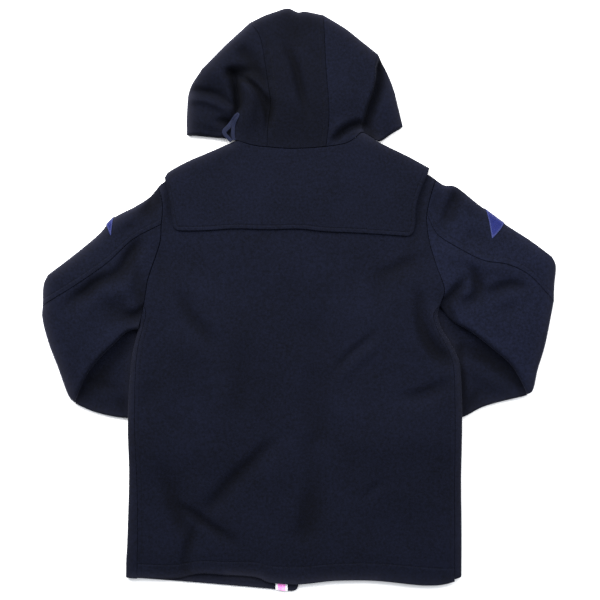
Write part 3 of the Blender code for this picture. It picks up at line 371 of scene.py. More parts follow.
HOOD_FOLDS = [
    # deep valley at the left, its upper bend and its foot
    [(-132, 412, -2.0, 6.0), (-122, 410, -14.0, 6.5), (-116, 396, -16.0, 6.0),
     (-111, 372, -14.0, 6.5), (-109, 350, -12.0, 6.5), (-112, 338, -6.0, 6.0)],
    [(-124, 411, -5.0, 8.0), (-112, 410, -13.0, 10.0), (-99, 410, -13.0, 10.0),
     (-86, 409, -8.0, 10.0), (-74, 402, -3.0, 10.0)],
    # soft hollow above it
    [(-108, 456, -2.0, 10.0), (-100, 446, -7.0, 11.0), (-89, 433, -8.0, 11.0),
     (-76, 416, -6.0, 10.0), (-64, 398, -3.0, 9.5)],
    # crease round the puffed ridge, with a second faint one beside it
    [(-104, 402, -6.0, 4.5), (-88, 392, -13.0, 4.5), (-76, 380, -14.0, 4.8),
     (-67, 367, -14.0, 6.0), (-59, 352, -15.0, 8.0), (-56, 334, -12.0, 6.5),
     (-57, 318, -6.0, 5.5), (-58, 302, -1.0, 6.0)],
    [(-88, 424, -0.8, 5.7), (-67, 397, -2.7, 5.7), (-54, 370, -2.6, 5.7),
     (-50, 346, -0.5, 5.7)],
    # the puffed ridge itself
    [(-98, 390, 3.7, 7.6), (-88, 374, 8.5, 9.5), (-84, 350, 8.8, 10.4), (-88, 324, 5.1, 11.4),
     (-94, 300, 1.0, 11.4)],
    # centre valley
    [(-27, 464, -0.8, 7.6), (-15, 440, -6.2, 6.6), (-6, 415, -8.5, 6.2), (0, 390, -8.8, 6.2),
     (6, 365, -7.4, 6.2), (13, 345, -4.0, 6.6), (23, 326, -0.5, 7.6)],
    [(-34, 440, 1.8, 10.4), (-26, 402, 2.9, 11.4), (-14, 366, 1.4, 11.4)],
    [(10, 436, 1.8, 11.4), (22, 400, 2.9, 11.4), (32, 366, 1.1, 11.4)],
    # bend above the neck at the right
    [(58, 286, -1.1, 5.0), (66, 294, -8.0, 5.5), (76, 304, -11.5, 5.8), (90, 313, -12.0, 6.0),
     (104, 318, -12.0, 6.0), (114, 318, -8.0, 6.0)],
    [(54, 286, 1.1, 5.7), (70, 311, 3.4, 6.6), (92, 325, 1.8, 7.6)],
    # ridge of the lower left lobe and the dip above it
    [(-202, 356, 1.0, 8.5), (-190, 361, 5.1, 7.6), (-164, 359, 7.7, 7.6),
     (-140, 349, 7.0, 7.1), (-118, 337, 2.6, 7.6)],
    [(-199, 378, -2.9, 7.6), (-176, 376, -7.4, 7.6), (-150, 370, -8.5, 7.6),
     (-126, 354, -5.9, 7.1)],
    [(-152, 324, -1.1, 5.7), (-132, 322, -9.3, 6.6), (-124, 317, -5.4, 6.6)],
    [(-164, 306, -1.1, 6.6), (-150, 303, -3.4, 6.6), (-136, 302, -1.1, 6.6)],
    [(-192, 332, 1.4, 14.2), (-166, 322, 3.4, 12.3), (-152, 316, 1.1, 9.5)],
    # the thin ridge that leads into the deep valley
    [(-142, 416, 1.0, 5.2), (-133, 391, 4.5, 5.2), (-122, 366, 4.8, 5.2),
     (-115, 350, 1.8, 5.2)],
    # long soft ridges of the right side
    [(66, 470, 1.1, 19), (84, 420, 4.0, 22.8), (88, 360, 3.7, 20.9), (86, 328, 0.8, 17.1)],
    [(-22, 504, -2.6, 19), (-8, 476, -4.8, 20.9), (6, 448, -1.4, 17.1)],
    [(-162, 432, 1.4, 15.2), (-150, 404, 3.4, 12.3), (-144, 386, 1.1, 11.4)],
    # seams of the centre panel sink a little
    [(-66, 486, -1.0, 5.7), (-56, 440, -1.8, 5.7), (-50, 396, -1.4, 5.7)],
]

# The hood falls away past its long folds: y and x of the line, the side that falls, the
# depth of the fall and width of its wall, how much of it is left one width further on,
# and from where to where in y it ends.
Drop = namedtuple("Drop", "line side depth wall rest width start end")
RIGHT_DROP = Drop([(296, 118), (306, 114), (314, 112), (325, 112.5), (350, 120), (380, 131),
                   (400, 135.5), (420, 136), (437, 140)], 1.0, 21.0, 5.5, 8.0, 27.0, 424.0, 442.0)
LEFT_DROP = Drop([(300, -120), (336, -108), (349, -103), (375, -104), (400, -110)],
                 -1.0, 14.0, 7.0, 7.0, 16.0, 372.0, 416.0)
NECK_DROP = 0.35        # share of a drop that is there at the neck

LOOP_PATH = [
    # x, y, width: up from the neck, round the narrow tip and back
    (-121.5, 287.0, 6.0), (-127.5, 293.5, 6.5), (-133.0, 299.5, 7.0), (-134.0, 304.5, 8.0),
    (-130.0, 309.5, 8.5), (-124.5, 315.0, 8.5), (-120.5, 321.0, 7.5), (-117.0, 327.5, 6.0),
    (-113.0, 333.0, 5.0), (-109.5, 336.0, 3.6), (-107.8, 334.0, 3.0), (-109.8, 330.0, 4.0),
    (-113.8, 324.0, 5.5), (-117.3, 316.0, 6.5), (-118.4, 307.0, 6.5), (-118.2, 297.0, 6.5),
    (-116.5, 289.0, 6.0),
]
LOOP_CLEAR = 0.8
LOOP_OVER = 1.5         # how much higher its first half lies, over the second
LOOP_CROSSING = 0.45    # share of its path up to which it does
LOOP_FADE = 0.2
TRIM_THICK = 1.0        # tape, ribbon and badges
TRIM_EDGE = 0.45        # share of that thickness by which their edges round down
TRIM_FOOT = 0.05        # and by which they round up
TRIM_SOFT = 0.4         # how far in from their edges they do
TAPE_LEFT = -42.3
TAPE_WIDTH = 21.6
TAPE_LENGTH = 60.0
TAPE_BASE = 5.5         # height of the left front's turned hem, which it lies on
TAPE_SOFT = 0.5
PATCH_CLEAR = 0.6
PATCH_TIP = 0.6         # half the width that a badge keeps at its tips
PATCH_UNDER = 0.5       # share of the quarter turn below the edge that it covers

# A badge: its place along the sleeve as a share, half its size along and round the
# sleeve, and how far its tip reaches from the outer edge.
Badge = namedtuple("Badge", "at half_length half_girth tip")
LEFT_BADGE = Badge(0.42, 18.0, 60.0, 32.0)
RIGHT_BADGE = Badge(0.50, 28.0, 60.0, 46.0)

# A row of topstitching: the depth and half width of the groove that it pulls, and how
# far and how softly the cloth stands up between it and its seam or edge.
Row = namedtuple("Row", "sink width rise soft")
SIDE_ROW = Row(0.55, 1.0, 0.35, 0.8)
HEM_ROW = Row(0.7, 1.3, 0.5, 2.0)
YOKE_ROW = Row(0.75, 1.0, 0.45, 0.8)
SLEEVE_ROW = Row(0.7, 1.1, 0.9, 1.2)
HOOD_ROW = Row(0.65, 1.2, 0.5, 0.8)
FLAP_ROW = Row(0.6, 1.4, 0.0, 0.8)

GENTLE = 1.5            # how much wider a fold is on its gentle side
HIGHLIGHT_REACH = 9.0         # how far in from the outline the painted highlight reaches

STITCH_PITCH = 3.9
STITCH_LENGTH = 3.1
STITCH_RADIUS = 0.26
STITCH_SIDES = 6
STITCH_STAND = 0.55     # share of its radius by which a stitch's middle stands up


# ---- Lines and patches -----------------------------------------------------------

def smooth(t):
    """Ease from 0 to 1."""
    t = np.clip(t, 0.0, 1.0)
    return t * t * (3.0 - 2.0 * t)


def spline(points, samples=10):
    """Close points of a smooth curve through a table's points."""
    p = np.array(points, float)
    if len(p) < 3:
        return p
    step = np.sqrt(np.linalg.norm(np.diff(p[:, :2], axis=0), axis=1))
    at = np.concatenate([[0.0], np.cumsum(step)])
    slope = np.gradient(p, at, axis=0)
    fine = [p[:1]]
    t = (np.arange(samples) + 1.0)[:, None] / samples
    for k, width in enumerate(step):
        fine.append((2 * t**3 - 3 * t**2 + 1) * p[k] + (t**3 - 2 * t**2 + t) * width * slope[k]
                    + (3 * t**2 - 2 * t**3) * p[k + 1] + (t**3 - t**2) * width * slope[k + 1])
    return np.concatenate(fine)


def read(line, t):
    """Points of a polyline at shares of its length."""
    lengths = np.linalg.norm(np.diff(line[:, :2], axis=0), axis=1)
    stops = np.concatenate([[0.0], np.cumsum(lengths)])
    stops /= stops[-1]
    return np.stack([np.interp(t, stops, line[:, k]) for k in range(line.shape[1])], -1)


def table(points, key):
    """Value on a table at a key, along a smooth line between its rows."""
    line = spline(points)
    order = np.argsort(line[:, 0], kind="stable")
    return np.interp(key, line[order, 0], line[order, 1])


def share_at(line, point):
    """Share of a line's length at its place nearest to a point."""
    fine = spline(line)
    lengths = np.concatenate([[0.0], np.cumsum(np.linalg.norm(np.diff(fine, axis=0), axis=1))])
    nearest = np.argmin(np.hypot(fine[:, 0] - point[0], fine[:, 1] - point[1]))
    return lengths[nearest] / lengths[-1]


def coons(first, last, left, right):
    """Patch between four edges: first and last run across, left and right along."""
    def patch(u, v):
        u, v = np.broadcast_arrays(u, v)
        a, b = read(first, v), read(last, v)
        c, d = read(left, u), read(right, u)
        u, v = u[..., None], v[..., None]
        corners = ((1 - u) * ((1 - v) * first[0] + v * first[-1])
                   + u * ((1 - v) * last[0] + v * last[-1]))
        return (1 - u) * a + u * b + (1 - v) * c + v * d - corners
    return patch


def segment(x, y, a, b):
    """Distance from a stretch of line, and the share of it that is nearest."""
    dx, dy = b[0] - a[0], b[1] - a[1]
    t = np.clip(((x - a[0]) * dx + (y - a[1]) * dy) / (dx * dx + dy * dy), 0.0, 1.0)
    return np.hypot(x - a[0] - t * dx, y - a[1] - t * dy), t


def relief(folds, x, y):
    """Rise of all folds at places: each is a soft ridge or trough along its line.

    A slope that faces the upper left is gentle, and one that faces away is steep.
    """
    total = np.zeros(np.shape(x))
    for fold in folds:
        line = spline(fold, 4)
        nearest = np.full(np.shape(x), np.inf)
        rise, width, lean = (np.zeros(np.shape(x)) for _ in range(3))
        for a, b in zip(line[:-1], line[1:]):
            distance, t = segment(x, y, a, b)
            closer = distance < nearest
            nearest = np.where(closer, distance, nearest)
            rise = np.where(closer, a[2] + (b[2] - a[2]) * t, rise)
            width = np.where(closer, a[3] + (b[3] - a[3]) * t, width)
            aside = y - a[1] - (b[1] - a[1]) * t - (x - a[0] - (b[0] - a[0]) * t)
            lean = np.where(closer, aside, lean)
        lean = lean * np.sign(rise) / (math.sqrt(2.0) * np.maximum(nearest, 1e-6))
        width = width * (1.0 + (GENTLE - 1.0) * smooth(0.5 + 0.5 * lean))
        total += rise * np.exp(-(nearest / width) ** 2)
    return total


def outside(polygon, x, y):
    """Distance from a polygon, 0 inside it."""
    inside = np.zeros(np.shape(x), bool)
    nearest = np.full(np.shape(x), np.inf)
    for a, b in zip(polygon, polygon[1:] + polygon[:1]):
        nearest = np.minimum(nearest, segment(x, y, a, b)[0])
        if a[1] != b[1]:
            crossed = (a[1] > y) != (b[1] > y)
            inside ^= crossed & (x < a[0] + (b[0] - a[0]) * (y - a[1]) / (b[1] - a[1]))
    return np.where(inside, 0.0, nearest)


def outline_highlight_share(x, y):
    """Share of the painted highlight: 1 on the coat's outline, falling to 0 some way inside it."""
    share = np.zeros(np.shape(x))
    for strength, lines in outline_highlight_lines():
        for line in lines:
            fine = spline(line, 3)
            for a, b in zip(fine[:-1], fine[1:]):
                near = np.exp(-(segment(x, y, a, b)[0] / HIGHLIGHT_REACH) ** 1.3)
                share = np.maximum(share, strength * near)
    return share


def outline_highlight_lines():
    """The outline and its painted highlight's strength, most on the left, the softbox's side."""
    left, right = LEFT_SLEEVE, RIGHT_SLEEVE
    sides = [[(row[sleeve.column], row[0]) for row in BODY if row[0] <= sleeve.underarm_y]
             for sleeve in (left, right)]
    return [
        (1.0, (HOOD_LEFT, HOOD_TOP_LEFT, left.outer, left.elbow_top, left.elbow_under)),
        (0.6, (SHOULDER_LEFT, HOOD_TOP, HOOD_TOP_RIGHT, BACK_HEM[3:9], LEFT_HEM)),
        (0.4, (HOOD_RIGHT, SHOULDER_RIGHT, right.outer, right.elbow_top, right.elbow_under)),
        (0.3, (*sides, BACK_HEM, left.lower_lower_edge[:-1], right.lower_lower_edge[:-1])),
    ]


# ---- Heights ---------------------------------------------------------------------

def bed(x, y):
    """Underside of what lies on a turned lower sleeve, 0 where it lies on the floor."""
    distance = np.full(np.shape(x), np.inf)
    for sleeve in (LEFT_SLEEVE, RIGHT_SLEEVE):
        polygon = sleeve.lower_upper_edge + sleeve.lower_lower_edge[::-1]
        distance = np.minimum(distance, outside(polygon, x, y))
    fall = smooth((distance - DRAPE_FULL) / (DRAPE_END - DRAPE_FULL))
    return (FOREARM_RISE + GAP) * (1.0 - fall)


def floor(x, y):
    """Underside of what lies on the floor."""
    return np.zeros(np.shape(x))


def unevenness(x, y):
    """Slow waves that thick cloth keeps wherever it lies; lengths are in millimetres."""
    return (SLOW_WAVE * np.sin(x / 31.0 + 1.3 * np.sin(y / 57.0))
            * np.sin(y / 37.0 + 1.1 * np.sin(x / 49.0) + 0.8)
            + SHORT_WAVE * np.sin(x / 13.0 + y / 23.0 + np.sin(y / 19.0))
            * np.sin(y / 15.0 - x / 29.0 + 2.1))


def least(height):
    """Holds cloth softly above the layers that it lies on."""
    return LEAST + LEAST_SOFT * np.logaddexp(0.0, (height - LEAST) / LEAST_SOFT)


def drop(fold, x, y):
    """Fall of the hood's side past one of its long folds: a wall, and a slope up again."""
    past = np.clip(fold.side * (x - np.interp(y, *zip(*fold.line))), 0.0, None)
    rise = (fold.depth - fold.rest) * smooth((past - fold.wall) / fold.width)
    fade = 1.0 - smooth((y - fold.start) / (fold.end - fold.start))
    return (fold.depth * smooth(past / fold.wall) - rise) * fade


def drops(x, y):
    return drop(RIGHT_DROP, x, y) + drop(LEFT_DROP, x, y)


def body_folds(x, y):
    return relief(BODY_FOLDS, x, y)


# Depths of the yoke's folds, used only for its painted fold shade.
def yoke_folds(x, y):
    return body_folds(x, y) + relief(YOKE_FOLDS, x, y)


def sleeve_folds(x, y):
    return relief(SLEEVE_FOLDS, x, y)


# Depths of the forearm's folds for their painted shade only, deeper than their form.
def forearm_shade_folds(x, y):
    return FOREARM_SHADE_GAIN * relief(FOREARM_FOLDS, x, y)


# Depths of the hood's folds and falls, used only for its painted fold shade.
def hood_folds(x, y):
    return relief(HOOD_FOLDS, x, y) - np.clip(drops(x, y) - RIGHT_DROP.rest, 0.0, None)


def body_top(x, y):
    hem = smooth(1.0 - (y - HEM_Y) / HEM_REACH)
    height = BODY_RISE + body_folds(x, y) + unevenness(x, y) - HEM_DROP * hem
    return least(height) + bed(x, y)


def sleeve_top(x, y):
    puff = SLEEVE_PUFF * smooth((np.abs(x) - PUFF_START) / PUFF_REACH)
    height = SLEEVE_RISE + puff + sleeve_folds(x, y) + unevenness(x, y)
    return least(height) + bed(x, y)


def hood_top(x, y):
    rise = HOOD_RISE * smooth((y - NECK[NECK_LEFT_SEAM][1]) / HOOD_REACH)
    full = NECK_DROP + (1.0 - NECK_DROP) * rise / HOOD_RISE
    return least(HOOD_NECK_RISE + rise + relief(HOOD_FOLDS, x, y) + unevenness(x, y)
                 - drops(x, y) * full)


# ---- Panels ----------------------------------------------------------------------

# A side of a panel: the radius that its edge rounds with, the degrees that it turns,
# and the distances past the radius at which the cloth's grid has extra lines. Wrap is
# 1 where the edge rolls down to what lies below, and 0 where it only rounds. Hem is 1
# where the inner face rounds up to meet it. Clear is the air left at the edge. Radius,
# span, wrap and clear may be functions of the share of the way along the side.
Side = namedtuple("Side", "radius span wrap hem clear lines")
FINE = (1.0, 2.2, 3.6, 5.4, 7.6, 10.2, 13.4)
STITCHED = (0.8, 1.9, 3.2, 4.4, 5.3, 6.0, 6.7, 7.6, 8.8, 10.6, 13.2)


def rolled(radius):
    """An edge that rolls over, down to what lies below."""
    return Side(radius, ROLL_SPAN, 1.0, 0.0, 0.0, (3.0, 6.5))


def sewn(lines=FINE, radius=SEAM_RADIUS):
    """An edge that rounds down into a seam."""
    return Side(radius, SEAM_SPAN, 0.0, 0.0, GAP / 2, lines)


def blend_side(plain, wrapped, share, lines):
    """A side that goes from one way of ending to another: share is 1 at the second."""
    return Side(lambda v: plain[0] + (wrapped[0] - plain[0]) * share(v),
                lambda v: plain[1] + (wrapped[1] - plain[1]) * share(v),
                share, 0.0, GAP / 2, lines)


# The lines of a panel's grid across one direction: which side each belongs to, how far
# round the side's turn it is, and its distance past the turn or share of the middle.
Track = namedtuple("Track", "end turn at")


def track(start, last, length, spacing, axis):
    turns = [k / ROLL_STEPS for k in range(ROLL_STEPS, 0, -1)]
    plain = length - start.lines[-1] - last.lines[-1]
    count = max(2, round(plain / spacing))
    lines = [(-1, t, 0.0) for t in turns] + [(-1, 0.0, 0.0)]
    lines += [(-1, 0.0, d) for d in start.lines]
    lines += [(0, 0.0, k / count) for k in range(1, count)]
    lines += [(1, 0.0, d) for d in reversed(last.lines)]
    lines += [(1, 0.0, 0.0)] + [(1, t, 0.0) for t in reversed(turns)]
    shape = (-1, 1) if axis == 0 else (1, -1)
    return Track(*(np.array(column, float).reshape(shape) for column in zip(*lines)))


def setting(value, share):
    return value(share) if callable(value) else value


def lay_lines(lines, start, last, length, share, depth, stretch):
    """Distance of each line from the first side, with its sine on a turn and its wrap."""
    found = []
    for side in (start, last):
        radius, span = setting(side.radius, share), setting(side.span, share)
        wrap, clear = setting(side.wrap, share), setting(side.clear, share)
        angle = np.radians(90.0 - lines.turn * span)
        inset = clear + radius - (radius - wrap * depth) * np.cos(angle)
        flat = clear + radius
        found.append((np.where(lines.turn > 0, inset, flat + lines.at * stretch),
                      flat + side.lines[-1] * stretch, radius, wrap, np.sin(angle)))
    (near, begin, radius0, wrap0, sine0), (far, finish, radius1, wrap1, sine1) = found
    middle = begin + (length - finish - begin) * lines.at
    distance = np.where(lines.end < 0, near, np.where(lines.end > 0, length - far, middle))
    pick = lines.end < 0
    turning = lines.turn > 0
    return (distance, np.where(turning, np.where(pick, sine0, sine1), 1.0),
            np.where(pick, radius0, radius1), np.where(pick, wrap0, wrap1) * turning,
            np.where(pick, start.hem, last.hem) * turning)


# Places of a grid in plan: x, y, distances from the four sides and shares u and v.
Places = namedtuple("Places", "x y bottom top left right u v")
Faces = namedtuple("Faces", "outer inner places")


def round_corner(near, across, radius):
    """Pushes places near a panel's square corner onto a round one."""
    a = np.clip(radius - near, 0.0, None)
    b = np.clip(radius - across, 0.0, None)
    return a - a * np.sqrt(1.0 - b * b / (2.0 * radius * radius))


def panel_faces(patch, sides, size, spacing, top, low, wall, thick=None, detail=None,
                stretch=None, corner=0.0, end_low=None):
    """Outer and inner face of a panel, as grids of points, and the outer one's places.

    Sides are the bottom, top, left and right one. Size is about the panel's width and
    length, which only set the number of the grid's lines, a spacing apart.
    """
    bottom, upper, left, right = sides
    rows = track(bottom, upper, size[1], spacing, 0)
    columns = track(left, right, size[0], spacing, 1)
    shape = (rows.at.size, columns.at.size)
    faces = []
    for depth in (0.0, wall):
        u = np.broadcast_to(np.linspace(0, 1, shape[0])[:, None], shape)
        v = np.broadcast_to(np.linspace(0, 1, shape[1])[None, :], shape)
        for _ in range(3):      # lengths and places depend on each other, and settle soon
            length = np.linalg.norm(patch(np.ones(shape), v) - patch(np.zeros(shape), v), axis=-1)
            grow = stretch(v) if stretch else 1.0
            a, sine_a, radius_a, wrap_a, hem_a = lay_lines(rows, bottom, upper, length, v,
                                                           depth, grow)
            u = a / length
            width = np.linalg.norm(patch(u, np.ones(shape)) - patch(u, np.zeros(shape)), axis=-1)
            b, sine_b, radius_b, wrap_b, hem_b = lay_lines(columns, left, right, width, u,
                                                           depth, 1.0)
            v = b / width
        moved_u, moved_v = u, v
        if corner:
            for near, sign in ((b, 1.0), (width - b, -1.0)):
                moved_u = moved_u + round_corner(a, near, corner) / length
                moved_v = moved_v + sign * round_corner(near, a, corner) / width
        xy = patch(moved_u, moved_v)
        places = Places(xy[..., 0], xy[..., 1], a, length - a, b, width - b, u, v)
        height = top(places.x, places.y) + (detail(places) if detail else 0.0)
        half = (height - low(places.x, places.y)) / 2.0
        half_a = (height - (end_low or low)(places.x, places.y)) / 2.0
        dip_a = (radius_a + (half_a - radius_a) * wrap_a) * (1.0 - sine_a)
        dip_b = (radius_b + (half - radius_b) * wrap_b) * (1.0 - sine_b)
        across = dip_b > dip_a
        dip = np.where(across, dip_b, dip_a)
        if depth == 0.0:
            first = places
            faces.append(np.stack([places.x, places.y, height - dip], -1))
            continue
        sine, wrap = np.where(across, sine_b, sine_a), np.where(across, wrap_b, wrap_a)
        hem = np.where(across, hem_b, hem_a)
        cloth = thick(places) if thick else wall
        plain = cloth - dip * (1.0 + hem)
        offset = plain + (cloth * sine - plain) * wrap
        faces.append(np.stack([places.x, places.y, height - dip - offset], -1))
    return Faces(*faces, first)


def line_at(faces, side, distance):
    """The line on a panel's outer face at a distance from one of its sides."""
    face, across = faces.outer, getattr(faces.places, side)
    along_rows = side in ("left", "right")
    points = []
    for k in range(across.shape[0] if along_rows else across.shape[1]):
        far = across[k] if along_rows else across[:, k]
        line = face[k] if along_rows else face[:, k]
        goal = distance[k] if np.ndim(distance) else distance
        order = np.argsort(far)
        points.append([np.interp(goal, far[order], line[order, axis]) for axis in range(3)])
    return np.array(points)


def sewn_row(distance, at, row):
    """Rise of the cloth round a row of topstitching, at a distance from its side."""
    groove = row.sink * np.exp(-((distance - at) / row.width) ** 2)
    return row.rise * smooth((at - distance) / row.soft + 0.5) - groove


# ---- Meshes ----------------------------------------------------------------------

def settings():
    return bpy.context.scene.duffle_coat


def cloth_wall():
    """Thickness of one layer of the cloth, in millimetres."""
    return settings().cloth.thickness / MM


def linear(colour):
    """Linear colour from an sRGB hex value."""
    channels = [int(colour[k:k + 2], 16) / 255.0 for k in (1, 3, 5)]
    return tuple(c / 12.92 if c <= 0.04045 else ((c + 0.055) / 1.055) ** 2.4
                 for c in channels) + (1.0,)


def deselect():
    for item in bpy.context.selected_objects:
        item.select_set(False)


def add_object(name, data, place=(0.0, 0.0, 0.0)):
    item = bpy.data.objects.new(name, data)
    item.location = place
    bpy.context.scene.collection.objects.link(item)
    return item


def mesh_object(name, points, faces):
    """A new object from points in millimetres, its faces turned outwards."""
    mesh = bpy.data.meshes.new(name)
    mesh.from_pydata((points * MM).tolist(), [], faces.tolist())
    bm = bmesh.new()
    bm.from_mesh(mesh)
    bmesh.ops.recalc_face_normals(bm, faces=bm.faces)
    if bm.calc_volume(signed=True) < 0.0:
        bmesh.ops.reverse_faces(bm, faces=bm.faces)
    bm.to_mesh(mesh)
    bm.free()
    mesh.shade_smooth()
    mesh.set_sharp_from_angle(angle=math.radians(SHARP_ANGLE))
    return add_object(name, mesh)


def shell(name, outer, inner, ring=False):
    """Closed shell between two grids of points. A ring's last column meets its first."""
    rows, columns = outer.shape[:2]
    index = np.arange(rows * columns).reshape(rows, columns)
    if ring:
        index = np.concatenate([index, index[:, :1]], 1)
    a, b, c, d = index[:-1, :-1], index[:-1, 1:], index[1:, 1:], index[1:, :-1]
    upper = np.stack([a, b, c, d], -1).reshape(-1, 4)
    lower = np.stack([a, d, c, b], -1).reshape(-1, 4) + rows * columns
    if ring:
        rims = [index[0], index[-1]]
    else:
        rims = [np.concatenate([index[0], index[1:, -1], index[-1, -2::-1],
                                index[-2:0:-1, 0], index[:1, 0]])]
    sides = [np.stack([rim[:-1], rim[:-1] + rows * columns, rim[1:] + rows * columns, rim[1:]], -1)
             for rim in rims]
    points = np.concatenate([outer.reshape(-1, 3), inner.reshape(-1, 3)])
    return mesh_object(name, points, np.concatenate([upper, lower] + sides))


def set_attribute(item, name, values):
    """A number for each point of a piece."""
    attribute = item.data.attributes.new(name, "FLOAT", "POINT")
    attribute.data.foreach_set("value", values.astype(np.float32))


def finish_piece(item, material, slot, node, folds=None):
    """Gives a piece its material, hides the solid that it stands for and attaches it to the root.

    The coat's cloth also gets, as attributes, where a painted highlight lies along the outline and
    how deep the painted shade in each fold is.
    """
    item.data.materials.append(material)
    if slot == "melton":
        points = np.empty(len(item.data.vertices) * 3, np.float32)
        item.data.vertices.foreach_get("co", points)
        x, y, _ = points.reshape(-1, 3).T / MM
        set_attribute(item, "rim", outline_highlight_share(x, y))
        if folds:
            set_attribute(item, "hollow", np.clip(-folds(x, y) / FULL_SHADE_DEPTH, 0.0, 1.0))
    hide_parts(node)
    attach(item, "root")


def finish_cloth(name, faces, folds=None, cut="lengthwise", ring=False):
    """A panel of the coat as a shell between its faces."""
    item = shell(name + "_cloth", *faces[:2], ring)
    # The folds give the depths for the cloth's painted fold shade.
    finish_piece(item, cloth_material(cut), "melton", name, folds)


# ---- Materials -------------------------------------------------------------------

METRE = 1000.0          # millimetres in it, to give a pattern its scale
# Painted light and shade by panel: each copy of the melton is made lighter or darker to the
# tone that its panel's light gives it, named by the way that its nap lies.
PANEL_LIGHT_SCALE = {"lengthwise": 1.0, "crosswise": 0.66, "slanting": 0.78, "upwards": 1.1,
           "downwards": 1.5}
HIGHLIGHT_SHEEN = 0.3         # sheen of the painted highlight along the outline
HIGHLIGHT_GREY = 0.45         # and how far that painted highlight turns the colour greyer
FULL_SHADE_DEPTH = 9.0      # depth of a fold at which its painted shade is full
PAINTED_SHADE_SHARE = 0.55     # and the share of colour and sheen that the painted shade takes away there
FOREARM_SHADE_GAIN = 2.4     # how many times deeper the forearm's folds count for their painted shade
MIX_A, MIX_B, MIX_RESULT = 6, 7, 2      # a Mix node's sockets for colours
WAVE_BANDS = 20.0       # bands that a Wave texture draws at scale 1
TAPE_RIB = 1.4          # from one rib of the tape to the next
TAPE_PINK = 0.32        # half width of its pink middle, as a share
STITCH_ROW = 0.9        # from one row of the embroidery to the next
BORDER_WIDTH = 2.6      # its lighter edge


def fill_inputs(node, inputs):
    """Sets a node's inputs; each is a value or another node's output."""
    for name, value in inputs.items():
        if isinstance(value, bpy.types.NodeSocket):
            node.id_data.links.new(value, node.inputs[name])
        else:
            node.inputs[name].default_value = value


def add_node(tree, kind, choices=(), inputs=()):
    """Adds a node with its settings and its links."""
    node = tree.nodes.new(kind)
    for name, value in dict(choices).items():
        setattr(node, name, value)
    fill_inputs(node, dict(inputs))
    return node


def new_material(name, constants):
    """Material with its Principled shader's own sockets set, and its Object coordinates."""
    material = bpy.data.materials.new(name)
    material.use_nodes = True
    tree = material.node_tree
    shader = tree.nodes["Principled BSDF"]
    fill_inputs(shader, constants)
    where = add_node(tree, "ShaderNodeTexCoord").outputs["Object"]
    return material, tree, shader, where


def between(tree, value, low, high, dark, light):
    """Colour that goes from dark to light as a value goes from low to high."""
    share = add_node(tree, "ShaderNodeMapRange", {},
                     {"Value": value, "From Min": low, "From Max": high}).outputs["Result"]
    return add_node(tree, "ShaderNodeMix", {"data_type": "RGBA"},
                    {"Factor": share, MIX_A: dark, MIX_B: light}).outputs[MIX_RESULT]


def melton(name, dark, light, nap_depth, panel_light=1.0):
    """Wool melton, woven, milled and raised: no weave shows, only a short matted nap.

    It gives the eye a soft dark field with clumped grain and a faint sheen where the nap is
    seen from the side. A painted highlight along the coat's outline makes it greyer and
    raises its sheen, and painted shade in the folds darkens colour and sheen. The last
    argument scales colour and least sheen of each panel's copy: painted light and shade
    by panel, named by the way that its nap lies.
    """
    # Painted light by panel: colours scaled for this panel's copy.
    dark, light = ([c * panel_light for c in colour[:3]] + [1.0] for colour in (dark, light))
    material, tree, shader, where = new_material(name, {
        "Roughness": 0.92, "Specular IOR Level": 0.07, "Sheen Roughness": 0.32,
        "Sheen Tint": linear("#8d92b6")})
    # matted clumps, fibres drawn coarse enough to show, and slow changes of tone, in mm
    nap, fibre, cloud = (
        add_node(tree, "ShaderNodeTexNoise", {},
                 {"Vector": where, "Scale": METRE / across, "Detail": detail,
                  "Roughness": rough}).outputs["Fac"]
        for across, detail, rough in ((4.6, 5.0, 0.7), (1.3, 2.0, 0.6), (75.0, 2.0, 0.5)))
    grain = add_node(tree, "ShaderNodeMath", {"operation": "MULTIPLY_ADD"},
                     {0: fibre, 1: 0.45, 2: nap}).outputs[0]
    tone = add_node(tree, "ShaderNodeMath", {"operation": "MULTIPLY_ADD"},
                    {0: cloud, 1: 0.22, 2: grain}).outputs[0]
    colour = between(tree, tone, 0.62, 1.04, dark, light)
    # Two attributes paint light: a highlight along the coat's outline and shade in its folds.
    rim, hollow = (add_node(tree, "ShaderNodeAttribute", {"attribute_name": word}).outputs["Fac"]
                   for word in ("rim", "hollow"))
    # What the painted shade in a fold leaves of the colour and the sheen.
    raised = add_node(tree, "ShaderNodeMath", {"operation": "MULTIPLY_ADD"},
                      {0: hollow, 1: -PAINTED_SHADE_SHARE, 2: 1.0}).outputs[0]
    # Sheen weight, raised along the outline as a painted highlight and cut by the painted fold
    # shade.
    sheen_with_highlight = add_node(tree, "ShaderNodeMapRange", {},
                     {"Value": rim, "To Min": 0.04 * panel_light, "To Max": HIGHLIGHT_SHEEN}).outputs[0]
    bloom, painted_grey = (add_node(tree, "ShaderNodeMath", {"operation": "MULTIPLY"},
                            {0: a, 1: b}).outputs[0]
                   for a, b in ((sheen_with_highlight, raised), (rim, HIGHLIGHT_GREY)))
    # Painted highlight: the colour turns greyer along the outline; then the painted fold shade
    # darkens it.
    colour = add_node(tree, "ShaderNodeMix", {"data_type": "RGBA"},
                      {"Factor": painted_grey, MIX_A: colour, MIX_B: linear("#2c2c36")})
    colour = add_node(tree, "ShaderNodeVectorMath", {"operation": "SCALE"},
                      {0: colour.outputs[MIX_RESULT], "Scale": raised})
    bump = add_node(tree, "ShaderNodeBump", {},
                    {"Strength": 0.75, "Distance": nap_depth, "Height": grain})
    fill_inputs(shader, {"Base Color": colour.outputs[0], "Sheen Weight": bloom,
                         "Normal": bump.outputs["Normal"]})
    return material


